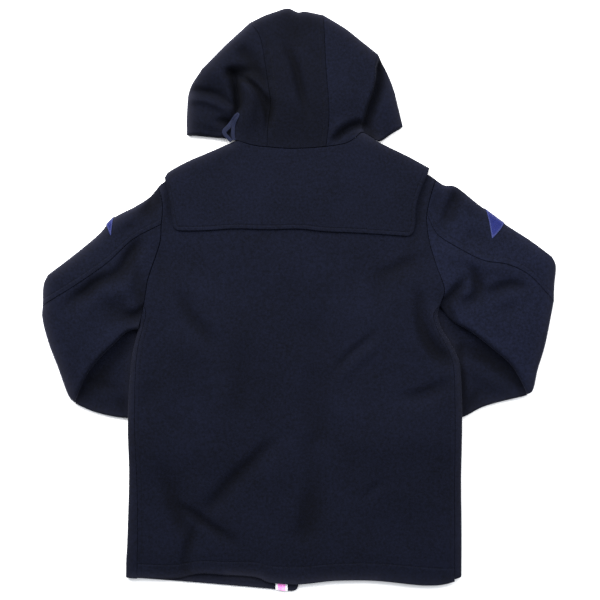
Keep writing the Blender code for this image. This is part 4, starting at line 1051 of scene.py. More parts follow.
def satin_thread(name, dark, light):
    """Sewing thread or ribbon of polyester: a faint shine on fine ribs."""
    material, tree, shader, where = new_material(name, {
        "Roughness": 0.75, "Specular IOR Level": 0.12})
    fine = add_node(tree, "ShaderNodeTexNoise", {},
                    {"Vector": where, "Scale": METRE / 0.9, "Roughness": 0.55}).outputs["Fac"]
    bump = add_node(tree, "ShaderNodeBump", {},
                    {"Strength": 0.5, "Distance": 0.0002, "Height": fine})
    fill_inputs(shader, {"Base Color": between(tree, fine, 0.3, 0.7, linear(dark),
                                               linear(light)),
                         "Normal": bump.outputs["Normal"]})
    return material


def tape_cloth():
    """Woven cotton tape: white selvedges beside a pink middle, with a fine cross rib."""
    material, tree, shader, where = new_material("cotton_facing_tape", {
        "Roughness": 0.75, "Specular IOR Level": 0.3, "Sheen Weight": 0.1})
    across = add_node(tree, "ShaderNodeAttribute", {"attribute_name": "across"}).outputs["Fac"]
    rib = add_node(tree, "ShaderNodeTexWave", {"bands_direction": "Y"},
                   {"Vector": where, "Scale": METRE / TAPE_RIB / WAVE_BANDS,
                    "Distortion": 0.3})
    mottle = add_node(tree, "ShaderNodeTexNoise", {},
                      {"Vector": where, "Scale": METRE / 2.6, "Roughness": 0.55})
    pinks = between(tree, mottle.outputs["Fac"], 0.35, 0.65, linear("#f07ad2"),
                    linear("#f9a8e4"))
    is_pink = add_node(tree, "ShaderNodeMath", {"operation": "COMPARE"},
                       {0: across, 1: 0.5, 2: TAPE_PINK}).outputs[0]
    mixed = add_node(tree, "ShaderNodeMix", {"data_type": "RGBA"},
                     {"Factor": is_pink, MIX_A: linear("#dfe0e4"), MIX_B: pinks})
    bump = add_node(tree, "ShaderNodeBump", {},
                    {"Strength": 0.4, "Distance": 0.0002, "Height": rib.outputs["Fac"]})
    fill_inputs(shader, {"Base Color": mixed.outputs[MIX_RESULT],
                         "Normal": bump.outputs["Normal"]})
    return material


def badge_thread():
    """Satin-stitched embroidery: smooth rows of shiny thread, lighter along its edge."""
    material, tree, shader, where = new_material("rayon_embroidery_blue", {
        "Roughness": 0.5, "Specular IOR Level": 0.15})
    rim, lie = (add_node(tree, "ShaderNodeAttribute", {"attribute_name": word}).outputs["Fac"]
                for word in ("rim", "lie"))
    uneven = add_node(tree, "ShaderNodeTexNoise", {},
                      {"Vector": where, "Scale": METRE / 1.6, "Roughness": 0.55}).outputs["Fac"]
    edge = add_node(tree, "ShaderNodeMath", {"operation": "LESS_THAN"},
                    {0: rim, 1: BORDER_WIDTH}).outputs[0]
    turn = add_node(tree, "ShaderNodeMath", {"operation": "MULTIPLY"},
                    {0: lie, 1: 2 * math.pi / STITCH_ROW}).outputs[0]
    rows = add_node(tree, "ShaderNodeMath", {"operation": "SINE"}, {0: turn}).outputs[0]
    field = between(tree, uneven, 0.3, 0.7, linear("#0b1140"), linear("#111a56"))
    border = between(tree, uneven, 0.3, 0.7, linear("#1d244e"), linear("#2a305e"))
    mixed = add_node(tree, "ShaderNodeMix", {"data_type": "RGBA"},
                     {"Factor": edge, MIX_A: field, MIX_B: border})
    bump = add_node(tree, "ShaderNodeBump", {},
                    {"Strength": 0.6, "Distance": 0.0002, "Height": rows})
    fill_inputs(shader, {"Base Color": mixed.outputs[MIX_RESULT],
                         "Normal": bump.outputs["Normal"]})
    return material


def floor_card():
    """Matt white card: even and bright, with only the faintest mottling."""
    material, tree, shader, where = new_material("matt_white_card", {
        "Roughness": 0.95, "Specular IOR Level": 0.1})
    mottle = add_node(tree, "ShaderNodeTexNoise", {},
                      {"Vector": where, "Scale": METRE / 400.0, "Roughness": 0.55})
    fill_inputs(shader, {"Base Color": between(tree, mottle.outputs["Fac"], 0.3, 0.7,
                                               linear("#f4f4f6"), linear("#f7f7f8"))})
    return material


def cloth_material(cut="lengthwise"):
    """The melton's copy for a panel, named by the way that its nap lies, its colour made lighter
    or darker as painted light.
    """
    name = "wool_melton_navy_" + cut
    chosen = settings().cloth
    return bpy.data.materials.get(name) or melton(name, chosen.dark, chosen.light, chosen.nap,
                                                  PANEL_LIGHT_SCALE[cut])


# ---- Sewing ----------------------------------------------------------------------

STITCHES = []           # lines of stitches that the pieces leave for the sewing


def sew(line, mask=None):
    """Notes a line of topstitching, and the stretch of it that is sewn."""
    points = line if mask is None else line[mask]
    if len(points) > 2:
        STITCHES.append(points)


def stitch_places(line):
    """Middle and direction of each stitch along a line."""
    lengths = np.linalg.norm(np.diff(line, axis=0), axis=1)
    stops = np.concatenate([[0.0], np.cumsum(lengths)])
    at = np.arange(STITCH_PITCH / 2, stops[-1] - STITCH_PITCH / 2, STITCH_PITCH)
    middle, ahead, behind = (
        np.stack([np.interp(at + step, stops, line[:, k]) for k in range(3)], -1)
        for step in (0.0, 1.0, -1.0))
    direction = ahead - behind
    return middle, direction / np.linalg.norm(direction, axis=1)[:, None]


# ---- Body ------------------------------------------------------------------------

BODY_LINE = spline(BODY)


def edge_at(y, column):
    return np.interp(y, BODY_LINE[:, 0], BODY_LINE[:, column])


def body_y(y, x, hem=BACK_HEM):
    """Where a row of the body lies at x: level in the middle, following hem and shoulder."""
    hem_share = smooth(1.0 - (y - HEM_Y) / HEM_BLEND)
    top_share = smooth(1.0 - (TOP_Y - y) / TOP_BLEND)
    return (y + hem_share * (table(hem, x) - HEM_Y)
            + top_share * (table(BACK_TOP, x) - TOP_Y))


def back_patch(u, v):
    y = HEM_Y + (TOP_Y - HEM_Y) * u
    first = edge_at(y, 1) + np.maximum(edge_at(y, 3), PIT_WRAP) + GAP / 2
    last = edge_at(y, 2) - np.maximum(edge_at(y, 4), PIT_WRAP) - GAP / 2
    x = first + (last - first) * v
    return np.stack([x, body_y(y, x)], -1)


def lapped(v):
    """1 over the fronts' overlap, where the back's hem is one layer."""
    return smooth((v - LAPPED[0]) / LAPPED_FADE) * smooth((LAPPED[1] - v) / LAPPED_FADE)


HEM_LINES = (2.0, 5.0, 9.0, 13.0, 17.0, 20.5, 23.0, 24.6, 25.6, 26.3, 27.0, 27.7, 28.4,
             29.4, 31.0, 33.5, 37.0)
HEM_LINE = 27.0         # the one of them that is sewn


def build_back():
    wall = cloth_wall()
    hem = Side(lambda v: TURNED / 2 + (wall - TURNED) / 2 * lapped(v), SEAM_SPAN, 0.0, 1.0, 0.0,
               HEM_LINES)

    def stretch(v):
        return (table(HEM_STITCH, back_patch(0.0, v)[..., 0]) - TURNED / 2) / HEM_LINE

    def detail(p):
        sides = sum(sewn_row(edge, SIDE_STITCH, SIDE_ROW) for edge in (p.left, p.right))
        fade = smooth((PIT_Y - SIDE_FADE_START - p.y) / SIDE_FADE)
        return sides * fade + sewn_row(p.bottom, table(HEM_STITCH, p.x), HEM_ROW)

    def thick(p):
        turned = smooth((table(HEM_STITCH, p.x) - p.bottom) / BACK_HEM_SOFT)
        return wall + (TURNED - wall) * turned * (1.0 - lapped(p.v))

    sides = (hem, sewn((4.0, 9.0)), sewn(STITCHED), sewn(STITCHED))
    faces = panel_faces(back_patch, sides, (575.0, 780.0), 4.0, body_top, floor, wall, thick,
                        detail, stretch)
    finish_cloth("back_panel", faces, body_folds)
    sew(line_at(faces, "bottom", table(HEM_STITCH, faces.outer[0, :, 0])))
    for side in ("left", "right"):
        line = line_at(faces, side, SIDE_STITCH)
        sew(line, (line[:, 1] < PIT_Y - SIDE_STITCH_END) & (line[:, 1] > HEM_Y + 4.0))


def rounded_in(distance, radius):
    """Share of a free edge's thickness that rounds away on each face, at a distance in."""
    past = 1.0 - np.clip(distance / radius, 0.0, 1.0)
    return 0.5 * EDGE_PART * (1.0 - np.sqrt(np.clip(1.0 - past**2, 0.0, 1.0)))


def front_faces(side, wall):
    """Outer and inner face of a front: side strip, rolled edge, underside and lap."""
    edge_column, wrap_column = (1, 3) if side < 0 else (2, 4)
    hem_steps = [TURNED / 2 * (1 - math.cos(math.radians(a))) for a in (6, 20, 36, 54, 72, 90)]
    rows = hem_steps + [5.0, 9.0, 15.0, 21.0, 25.0, 27.0, 29.0, 32.0]
    rows += list(np.linspace(38.0, TOP_Y - HEM_Y, 110))
    near_hem = np.array(rows)[:, None]
    y = HEM_Y + near_hem
    edge = edge_at(y, edge_column)
    wrap = np.maximum(edge_at(y, wrap_column), PIT_WRAP)
    radius = np.minimum(SIDE_RADIUS, ROLL_PART * wrap)
    cover = (wall + GAP) * smooth((y - PIT_Y + PIT_SOFT) / PIT_SOFT)
    goal = LEFT_EDGE_X if side < 0 else LEFT_STEP_X + 1.0

    turns = np.radians(np.linspace(90.0, -90.0, 19))[None, :]
    strip = np.linspace(1.0, 0.0, 7)[None, :-1]
    strip_inset = radius + (wrap - GAP - radius) * strip
    roll_inset = radius - radius * np.cos(turns)
    roll_inner = radius - (radius - np.minimum(wall, radius * ROLL_PART)) * np.cos(turns)
    width = np.abs(goal - edge)
    lap_steps = np.array([0.2, 0.9, 2.0, 3.5, 5.5, 8.0, 12.0, 18.0, 26.0])[::-1]
    flat = np.linspace(0.0, 1.0, 48)[None, 1:]
    under = radius + (width - lap_steps[0] - radius) * flat
    lap = width - lap_steps[None, 1:] + 0.0 * y
    hem_table = LEFT_HEM if side < 0 else [(x, y + RIGHT_HEM_SHORT) for x, y in BACK_HEM]

    def layout(insets):
        inset = np.concatenate([np.broadcast_to(part, (len(rows), part.shape[1]))
                                for part in insets], 1)
        x = edge - side * inset
        return x, body_y(y, x, hem_table)

    x, y_out = layout((strip_inset, roll_inset, under, lap))
    x_in, y_in = layout((strip_inset, roll_inner, under, lap))
    count = (strip_inset.shape[1], roll_inset.shape[1], under.shape[1] + lap.shape[1])
    top = body_top(x, y_out) - cover
    base = bed(x, y_out)
    if side > 0:
        base = base + LAP_RISE * smooth((LAP_START - x) / LAP_REACH)
    edge_base = np.broadcast_to(bed(edge, y), y.shape)
    level = count[0] + turns.size // 2      # the column where the roll is widest
    half = (top[:, level:level + 1] - edge_base) / 2.0
    z = np.concatenate([top[:, :count[0]], edge_base + half * (1.0 + np.sin(turns)),
                        base[:, count[0] + count[1]:]], 1)
    turned = smooth((HEM_WIDTH - near_hem) / FRONT_HEM_SOFT)
    room = np.clip(body_top(x, y_out) - wall - 2 * GAP - base, LEAST_CLOTH, None)
    cloth = np.minimum(wall + (TURNED - wall) * turned, room)
    side_cloth = np.minimum(cloth[:, :1], half * SIDE_PART)
    z_in = np.concatenate([top[:, :count[0]] - side_cloth,
                           edge_base + half + (half - side_cloth) * np.sin(turns),
                           (base + cloth)[:, count[0] + count[1]:]], 1)
    outer, inner = np.stack([x, y_out, z], -1), np.stack([x_in, y_in, z_in], -1)
    from_lap = np.concatenate([np.full(sum(count[:2]) + under.shape[1], np.inf), lap_steps[1:]])
    dip = np.maximum(rounded_in(near_hem, TURNED / 2), rounded_in(from_lap, wall / 2)[None, :])
    turn_in = (inner - outer) * dip[..., None]
    return outer + turn_in, inner - turn_in


def build_fronts():
    for side, name in ((-1, "front_left"), (1, "front_right")):
        finish_cloth(name, front_faces(side, cloth_wall()))


# ---- Yoke ------------------------------------------------------------------------

def build_yoke():
    wall = cloth_wall()
    line = SHOULDER_LEFT + NECK[1:] + SHOULDER_RIGHT[1:]
    begin, end = share_at(line, NECK[0]), share_at(line, SHOULDER_RIGHT[2])

    def shoulder(v):
        return 1.0 - smooth((v - begin) / NECK_FADE) * smooth((end - v) / NECK_FADE)

    def detail(p):
        distance = np.minimum(p.bottom, np.minimum(p.left, p.right))
        fade = smooth((p.top - YOKE_FADE_START) / YOKE_FADE)
        return (sewn_row(distance, YOKE_STITCH, YOKE_ROW) * fade
                + relief(YOKE_FOLDS, p.x, p.y))

    patch = coons(spline(YOKE_BOTTOM), spline(line), spline(YOKE_LEFT), spline(YOKE_RIGHT))
    free = Side(wall / 2, SEAM_SPAN, 0.0, 1.0, 0.0, STITCHED)
    sides = (free, blend_side((SEAM_RADIUS, SEAM_SPAN), (YOKE_RADIUS, ROLL_SPAN), shoulder,
                              (2.0, 5.0, 9.0)), free, free)
    faces = panel_faces(patch, sides, (460.0, 150.0), 3.4,
                        lambda x, y: body_top(x, y) + wall + GAP, floor, wall, detail=detail,
                        corner=YOKE_CORNER)
    finish_cloth("yoke", faces, yoke_folds)
    places, (rows, columns) = faces.places, faces.places.x.shape
    sew(line_at(faces, "bottom", YOKE_STITCH),
        np.minimum(places.left[rows // 4], places.right[rows // 4]) > YOKE_STITCH)
    sewn_rows = ((places.bottom[:, columns // 4] > YOKE_STITCH)
                 & (places.top[:, columns // 2] > YOKE_FADE))
    for side in ("left", "right"):
        sew(line_at(faces, side, YOKE_STITCH), sewn_rows)


# ---- Sleeves ---------------------------------------------------------------------

def sleeve_patches(sleeve):
    """Plans of the top panel, the under panel and both together, from armhole to elbow."""
    y = np.linspace(TOP_Y, sleeve.underarm_y, 70)
    x = edge_at(y, sleeve.column)
    hole = np.stack([x, body_y(y, x)], -1)
    index = int(np.argmin(np.abs(hole[:, 1] - sleeve.seam_y)))
    head, pit = hole[:index + 1], hole[index:]
    outer = spline([tuple(head[0])] + sleeve.outer[1:])
    seam = spline([tuple(head[-1])] + sleeve.seam[1:])
    inner = spline([tuple(pit[-1])] + sleeve.inner[1:])
    elbow_top, elbow_under = spline(sleeve.elbow_top), spline(sleeve.elbow_under)
    return (coons(head, elbow_top, outer, seam), coons(pit, elbow_under, seam, inner),
            coons(hole, np.concatenate([elbow_top, elbow_under[1:]]), outer, inner))


def inside(radius):
    """The hidden layers' side within a panel that rolls over with this radius."""
    return Side(radius - CLOTH, FILLING_SPAN, 1.0, 0.0, CLOTH + 2 * GAP, (3.0, 7.0))


def build_filling(name, patch, sides, size, top, base):
    """Hidden layers as one rounded solid, just inside the cloth that shows."""
    def lowered(x, y):
        return top(x, y) - CLOTH - 2 * GAP - FILLING_CLEAR

    def lifted(x, y):
        return base(x, y) + GAP

    upper = panel_faces(patch, sides, size, FILLING_SPACING, lowered, lifted, CLOTH).outer
    lower = upper.copy()
    x, y = upper[..., 0], upper[..., 1]
    lower[..., 2] = lifted(x, y) + lowered(x, y) - upper[..., 2]
    item = shell(name + "_layers", upper, lower)
    material = bpy.data.materials.get("wool_melton_hidden") or melton(
        "wool_melton_hidden", linear("#05060a"), linear("#0a0b12"), settings().cloth.nap)
    finish_piece(item, material, "melton_hidden", name)


def build_sleeve(sleeve):
    wall = cloth_wall()
    top_patch, under_patch, whole = sleeve_patches(sleeve)
    inner = "sleeve_inner_" + sleeve.word

    def top_detail(p):
        return sewn_row(p.right, SEAM_BAND, SLEEVE_ROW)

    def under_detail(p):
        return -SEAM_SINK * np.exp(-p.left / SEAM_SLOPE)

    sides = (sewn(), rolled(ELBOW_RADIUS), rolled(SLEEVE_RADIUS), sewn(STITCHED))
    faces = panel_faces(top_patch, sides, (120.0, 250.0), 3.2, sleeve_top, floor, wall,
                        detail=top_detail)
    finish_cloth("sleeve_top_" + sleeve.word, faces, sleeve_folds, sleeve.cut)
    sew(line_at(faces, "right", SEAM_BAND), faces.places.top[:, -1] > 10.0)

    sides = (sewn(), rolled(ELBOW_RADIUS), sewn(), rolled(SLEEVE_RADIUS))
    faces = panel_faces(under_patch, sides, (190.0, 210.0), 3.4, sleeve_top, bed, wall,
                        detail=under_detail, end_low=floor)
    finish_cloth("sleeve_under_" + sleeve.word, faces, sleeve_folds,
                 sleeve.cut)
    sides = (sewn(radius=1.0), inside(ELBOW_RADIUS), inside(SLEEVE_RADIUS), inside(SLEEVE_RADIUS))
    build_filling(inner, whole, sides, (230.0, 240.0), sleeve_top, bed)


def build_lower_sleeve(sleeve):
    """The turned lower sleeve as a flattened tube, from the elbow to its cuff."""
    upper, lower = spline(sleeve.lower_upper_edge), spline(sleeve.lower_lower_edge)
    patch = coons(np.array([upper[0], lower[0]]), np.array([upper[-1], lower[-1]]), upper, lower)
    rows = np.linspace(0.0, 1.0, 74)[:, None]
    flat = np.linspace(0.0, 1.0, 46)[1:-1]
    turns = np.radians(np.linspace(-90.0, 90.0, 15))
    rises = np.concatenate([np.sin(turns), np.ones(len(flat)), np.sin(turns)[::-1],
                            -np.ones(len(flat))])
    width = np.linalg.norm(patch(rows, 1.0 + 0.0 * rows) - patch(rows, 0.0 * rows), axis=-1)
    plain = FOREARM_RADIUS / width + (1.0 - 2.0 * FOREARM_RADIUS / width) * flat
    faces = []
    for depth in (0.0, cloth_wall()):
        roll = (FOREARM_RADIUS - (FOREARM_RADIUS - depth) * np.cos(turns)) / width
        v = np.concatenate([roll, plain, 1.0 - roll[:, ::-1], plain[:, ::-1]], 1)
        xy = patch(np.broadcast_to(rows, v.shape), v)
        half = (FOREARM_RISE + relief(FOREARM_FOLDS, xy[..., 0], xy[..., 1])) / 2.0
        faces.append(np.concatenate([xy, (half + (half - depth) * rises)[..., None]], -1))
    finish_cloth("sleeve_lower_" + sleeve.word, faces, forearm_shade_folds,
                 ring=True)


# ---- Hood ------------------------------------------------------------------------

def raised(points):
    return [(x, y + NECK_CLEAR) for x, y in points]


def build_hood():
    neck_left = LEFT_FLAP + raised(NECK[1:NECK_LEFT_SEAM + 1])
    neck_centre = raised(NECK[NECK_LEFT_SEAM:NECK_RIGHT_SEAM + 1])
    neck_right = raised(NECK[NECK_RIGHT_SEAM:]) + RIGHT_FLAP
    seam_left = spline([neck_left[-1]] + HOOD_SEAM_LEFT[1:])
    seam_right = spline([neck_centre[-1]] + HOOD_SEAM_RIGHT[1:])
    left_end = share_at(neck_left, LEFT_FLAP[-1])
    right_end = share_at(neck_right, RIGHT_FLAP[1])
    plain, wrapped = (SEAM_RADIUS, SEAM_SPAN), (FLAP_RADIUS, ROLL_SPAN)

    def left_flap(v):
        return smooth((left_end - v) / FLAP_FADE + 0.5)

    def right_flap(v):
        return smooth((v - right_end) / FLAP_FADE + 0.5)

    def left_detail(p):
        return sewn_row(p.bottom, FLAP_STITCH, FLAP_ROW) * left_flap(p.v)

    def centre_detail(p):
        return (sewn_row(p.left, HOOD_STITCH_LEFT, HOOD_ROW)
                + sewn_row(p.right, HOOD_STITCH_RIGHT, HOOD_ROW))

    rim, seam = rolled(HOOD_RADIUS), sewn(STITCHED)
    left_neck = blend_side(plain, wrapped, left_flap, (2.0, 5.0, 8.0, 10.0, 12.0, 14.0))
    right_neck = blend_side(plain, wrapped, right_flap, (2.0, 5.0, 9.0))
    hood = (
        # name, plan, sides, nominal size, detail, cut
        ("hood_side_left",
         coons(spline(neck_left), spline(HOOD_TOP_LEFT), spline(HOOD_LEFT), seam_left),
         (left_neck, rim, rim, seam), (145.0, 200.0), left_detail, "slanting"),
        ("hood_centre", coons(spline(neck_centre), spline(HOOD_TOP), seam_left, seam_right),
         (sewn(), rim, seam, seam), (110.0, 230.0), centre_detail, "crosswise"),
        ("hood_side_right",
         coons(spline(neck_right), spline(HOOD_TOP_RIGHT), seam_right, spline(HOOD_RIGHT)),
         (right_neck, rim, seam, rim), (130.0, 190.0), None, "lengthwise"),
    )
    for name, patch, sides, size, detail, cut in hood:
        faces = panel_faces(patch, sides, size, 2.6, hood_top, floor, cloth_wall(), detail=detail)
        finish_cloth(name, faces, hood_folds, cut)
        if name == "hood_centre":
            top = faces.places.top
            for side, distance in (("left", HOOD_STITCH_LEFT), ("right", HOOD_STITCH_RIGHT)):
                sew(line_at(faces, side, distance), top[:, top.shape[1] // 2] > 8.0)
        if name == "hood_side_left":
            sew(line_at(faces, "bottom", FLAP_STITCH), left_flap(faces.places.v[0]) > 0.5)
    neck = spline(neck_left + neck_centre[1:] + neck_right[1:])
    crown = np.concatenate([spline(HOOD_TOP_LEFT), spline(HOOD_TOP)[1:],
                            spline(HOOD_TOP_RIGHT)[1:]])
    whole = coons(neck, crown, spline(HOOD_LEFT), spline(HOOD_RIGHT))
    begin, end = share_at(neck, LEFT_FLAP[-1]), share_at(neck, RIGHT_FLAP[1])

    def under_seam(v):
        return smooth((v - begin) / NECK_FADE) * smooth((end - v) / NECK_FADE)

    flap = inside(FLAP_RADIUS)
    at_neck = flap._replace(clear=lambda v: flap.clear * (1.0 - under_seam(v)))
    sides = (at_neck, inside(HOOD_RADIUS), inside(HOOD_RADIUS), inside(HOOD_RADIUS))
    build_filling("hood_inner", whole, sides, (340.0, 200.0), hood_top, floor)


# ---- Trims -----------------------------------------------------------------------

def trim_faces(points, normals, clear, soft):
    """Faces of a thin trim that stands on a grid of points; soft rounds its edges down."""
    outer = clear + TRIM_THICK * (1.0 - TRIM_EDGE * soft)
    inner = clear + TRIM_THICK * TRIM_FOOT * soft
    return points + normals * outer[..., None], points + normals * inner[..., None]


def grid_normals(points):
    """Normals of a grid of points, facing up in the middle of its first row."""
    normal = np.cross(np.gradient(points, axis=1), np.gradient(points, axis=0))
    normal /= np.linalg.norm(normal, axis=-1)[..., None]
    return normal * np.sign(normal[0, normal.shape[1] // 2, 2])


def build_tape():
    across = np.linspace(0.0, 1.0, 19)[None, :]
    ahead = np.linspace(0.0, 1.0, 31)[:, None] ** 1.5
    x = TAPE_LEFT + TAPE_WIDTH * across + 0.0 * ahead
    y = table(LEFT_HEM, x) + GAP + TAPE_LENGTH * ahead
    points = np.stack([x, y, np.full(x.shape, TAPE_BASE)], -1)
    edge = np.minimum(np.minimum(across, 1.0 - across) * TAPE_WIDTH, TAPE_LENGTH * ahead)
    item = shell("facing_tape_cotton", *trim_faces(points, UP, 0.0, np.exp(-edge / TAPE_SOFT)))
    set_attribute(item, "across", np.tile((across + 0.0 * x).ravel(), 2))
    finish_piece(item, tape_cloth(), "facing_tape", "facing_tape")


def build_loop():
    path = spline(LOOP_PATH, 6)
    line, width = path[:, :2], path[:, 2:]
    ahead = np.gradient(line, axis=0)
    ahead /= np.linalg.norm(ahead, axis=1)[:, None]
    sideways = np.stack([-ahead[:, 1], ahead[:, 0]], -1)
    across = np.linspace(-0.5, 0.5, 9)[None, :]
    xy = line[:, None, :] + sideways[:, None, :] * (across * width)[..., None]
    x, y = xy[..., 0], xy[..., 1]
    base = np.maximum(hood_top(x, y), body_top(x, y) + LAYER).max(axis=1)
    for _ in range(4):
        base = np.convolve(np.pad(base, 1, mode="edge"), (0.25, 0.5, 0.25), "valid")
    share = np.linspace(0.0, 1.0, len(line))
    base = base + LOOP_CLEAR + LOOP_OVER * (1.0 - smooth((share - LOOP_CROSSING) / LOOP_FADE))
    points = np.stack([x, y, base[:, None] + 0.0 * x], -1)
    soft = np.exp(-(0.5 - np.abs(across)) * width / TRIM_SOFT)
    item = shell("neck_loop_ribbon", *trim_faces(points, UP, 0.0, soft))
    finish_piece(item, satin_thread("polyester_ribbon_blue", "#070a15", "#10162f"), "ribbon",
                 "neck_loop")


def build_badge(badge, sleeve, material):
    """Lozenge badge that lies round the sleeve's rolled outer edge."""
    patch = sleeve_patches(sleeve)[0]
    quarter = SLEEVE_RADIUS * math.pi / 2
    middle = badge.tip - badge.half_girth
    girth = np.linspace(badge.tip, -quarter * PATCH_UNDER, 26)[:, None]
    across = np.linspace(-1.0, 1.0, 19)[None, :]
    half = badge.half_length * (1.0 - np.abs(girth - middle) / badge.half_girth) + PATCH_TIP
    length = np.linalg.norm(patch(np.ones(1), np.zeros(1)) - patch(np.zeros(1), np.zeros(1)))
    u = badge.at + across * half / length
    angle = np.radians(90.0 * np.clip(girth / quarter, -PATCH_UNDER, 1.0)) + 0.0 * u
    inset = SLEEVE_RADIUS * (1.0 - np.cos(angle)) + np.clip(girth - quarter, 0.0, None)
    width = np.linalg.norm(patch(u, np.ones(u.shape)) - patch(u, np.zeros(u.shape)), axis=-1)
    xy = patch(u, inset / width)
    height = sleeve_top(xy[..., 0], xy[..., 1])
    points = np.concatenate([xy, (height / 2.0 * (1.0 + np.sin(angle)))[..., None]], -1)
    # distance from the lozenge's sides, which meet at its tip
    rim = np.minimum((1.0 - np.abs(across)) * half, (badge.tip - girth) * 0.4 + 0.3)
    soft = np.exp(-rim / TRIM_SOFT)
    name = "badge_" + sleeve.word
    item = shell(name + "_embroidery", *trim_faces(points, grid_normals(points),
                                                     PATCH_CLEAR, soft))
    for word, values in (("rim", rim), ("lie", girth)):
        set_attribute(item, word, np.tile((values + 0.0 * u).ravel(), 2))
    finish_piece(item, material, "badge_thread", name)


# ---- Topstitching ----------------------------------------------------------------

def stitch_model():
    """One stitch along x: a thread that dives into the cloth at both ends."""
    stops = np.array([-0.5, -0.36, 0.0, 0.36, 0.5]) * STITCH_LENGTH
    sizes = np.array([0.35, 0.85, 1.0, 0.85, 0.35]) * STITCH_RADIUS
    rises = np.array([-0.45, -0.1, 0.0, -0.1, -0.45]) * STITCH_RADIUS * 2.0
    turns = np.linspace(0.0, 2.0 * math.pi, STITCH_SIDES, endpoint=False)
    points = [(x, size * math.cos(t), rise + size * math.sin(t))
              for x, size, rise in zip(stops, sizes, rises) for t in turns]
    faces = []
    for ring in range(len(stops) - 1):
        for k in range(STITCH_SIDES):
            a, b = ring * STITCH_SIDES + k, ring * STITCH_SIDES + (k + 1) % STITCH_SIDES
            faces.append((a, b, b + STITCH_SIDES, a + STITCH_SIDES))
    first = len(points)
    points += [(stops[0] - 0.1, 0.0, rises[0]), (stops[-1] + 0.1, 0.0, rises[-1])]
    last_ring = first - STITCH_SIDES
    caps = []
    for k in range(STITCH_SIDES):
        after = (k + 1) % STITCH_SIDES
        caps.append((first, after, k))
        caps.append((first + 1, last_ring + k, last_ring + after))
    return np.array(points), faces, caps


def build_stitches():
    """Every stitch is a copy of one model, set along the pieces' stitch lines."""
    model, quads, caps = stitch_model()
    points, faces = [], []
    for line in STITCHES:
        middle, ahead = stitch_places(line)
        side = np.cross(UP, ahead)
        side /= np.linalg.norm(side, axis=1)[:, None]
        up = np.cross(ahead, side)
        for place, x_axis, y_axis, z_axis in zip(middle, ahead, side, up):
            start = len(points) * len(model)
            points.append(place + model[:, :1] * x_axis + model[:, 1:2] * y_axis
                          + (model[:, 2:] + STITCH_RADIUS * STITCH_STAND) * z_axis)
            faces += [tuple(start + k for k in face) for face in quads + caps]
    mesh = bpy.data.meshes.new("topstitching")
    mesh.from_pydata((np.concatenate(points) * MM).tolist(), [], faces)
    mesh.shade_smooth()
    item = add_object("topstitching", mesh)
    mesh.materials.append(satin_thread("polyester_thread_navy", "#030408", "#070912"))
    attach(item, "root")


# ---- Stage -----------------------------------------------------------------------

FLOOR_SIZE = 9.0
CAMERA_PLACE = (0.0018, 0.0018, 2.565)
CAMERA_LENS = 85.0
SOFTBOXES = (
    # name, place, size and share of the power
    ("softbox_above", (-1.0, 1.6, 1.6), 2.0, 1.0),
    ("softbox_right", (1.3, 1.0, 1.7), 1.6, 0.35),
)
SOFTBOX_COLOUR = (1.0, 0.99, 0.97)
ROOM_COLOUR = (0.93, 0.96, 1.0, 1.0)


def add_light(name, place, size, power):
    """Square softbox that looks at the coat's middle."""
    data = bpy.data.lights.new(name, "AREA")
    data.shape, data.size, data.energy, data.color = "SQUARE", size, power, SOFTBOX_COLOUR
    light = add_object(name, data, place)
    light.rotation_euler = (-Vector(place)).to_track_quat("-Z", "Y").to_euler()


def build_stage():
    chosen = settings().stage
    deselect()
    bpy.ops.mesh.primitive_plane_add(size=FLOOR_SIZE, location=(0.0, 0.0, 0.0))
    ground = bpy.context.object
    ground.name = "stage_floor"
    ground.data.materials.append(floor_card())
    for name, place, size, share in SOFTBOXES:
        add_light(name, place, size, chosen.key_power * share)
    world = bpy.data.worlds.new("pale_room")
    world.use_nodes = True
    background = world.node_tree.nodes["Background"]
    fill_inputs(background, {"Color": ROOM_COLOUR, "Strength": chosen.room_light})
    bpy.context.scene.world = world
    data = bpy.data.cameras.new("overhead_camera")
    data.lens = CAMERA_LENS
    bpy.context.scene.camera = add_object("overhead_camera", data, CAMERA_PLACE)
    bpy.context.scene.view_settings.view_transform = "Standard"


# ---- Add-on ----------------------------------------------------------------------

class ClothSettings(bpy.types.PropertyGroup):
    """The melton of the coat's panels."""
    thickness: FloatProperty(
        name="Cloth thickness", description="Thickness of one layer of the melton",
        default=CLOTH * MM, min=0.002, max=0.0031, unit="LENGTH")
    nap: FloatProperty(
        name="Nap", description="Depth of the raised and matted fibres",
        default=0.00035, min=0.0, max=0.002, unit="LENGTH")
    dark: FloatVectorProperty(
        name="Dark wool", description="Colour of the cloth between its fibres",
        default=linear("#03040a"), size=4, min=0.0, max=1.0, subtype="COLOR")
    light: FloatVectorProperty(
        name="Light wool", description="Colour of the fibres that catch the light",
        default=linear("#0a0d1b"), size=4, min=0.0, max=1.0, subtype="COLOR")


class StageSettings(bpy.types.PropertyGroup):
    """The light round the coat."""
    key_power: FloatProperty(
        name="Softbox power", description="Power of the large light above the coat",
        default=160.0, min=0.0, unit="POWER")
    room_light: FloatProperty(
        name="Room light", description="Strength of the even light of the pale room",
        default=0.85, min=0.0)


class CoatSettings(bpy.types.PropertyGroup):
    """All that a user would change on the coat."""
    cloth: PointerProperty(type=ClothSettings, name="Cloth", description="The coat's cloth")
    stage: PointerProperty(type=StageSettings, name="Stage", description="The light round it")


class COAT_OT_back(bpy.types.Operator):
    """Lay the back panel with its turned hem and side seams"""
    bl_idname = "coat.back"
    bl_label = "Back panel"

    def execute(self, context):
        build_back()
        return {"FINISHED"}


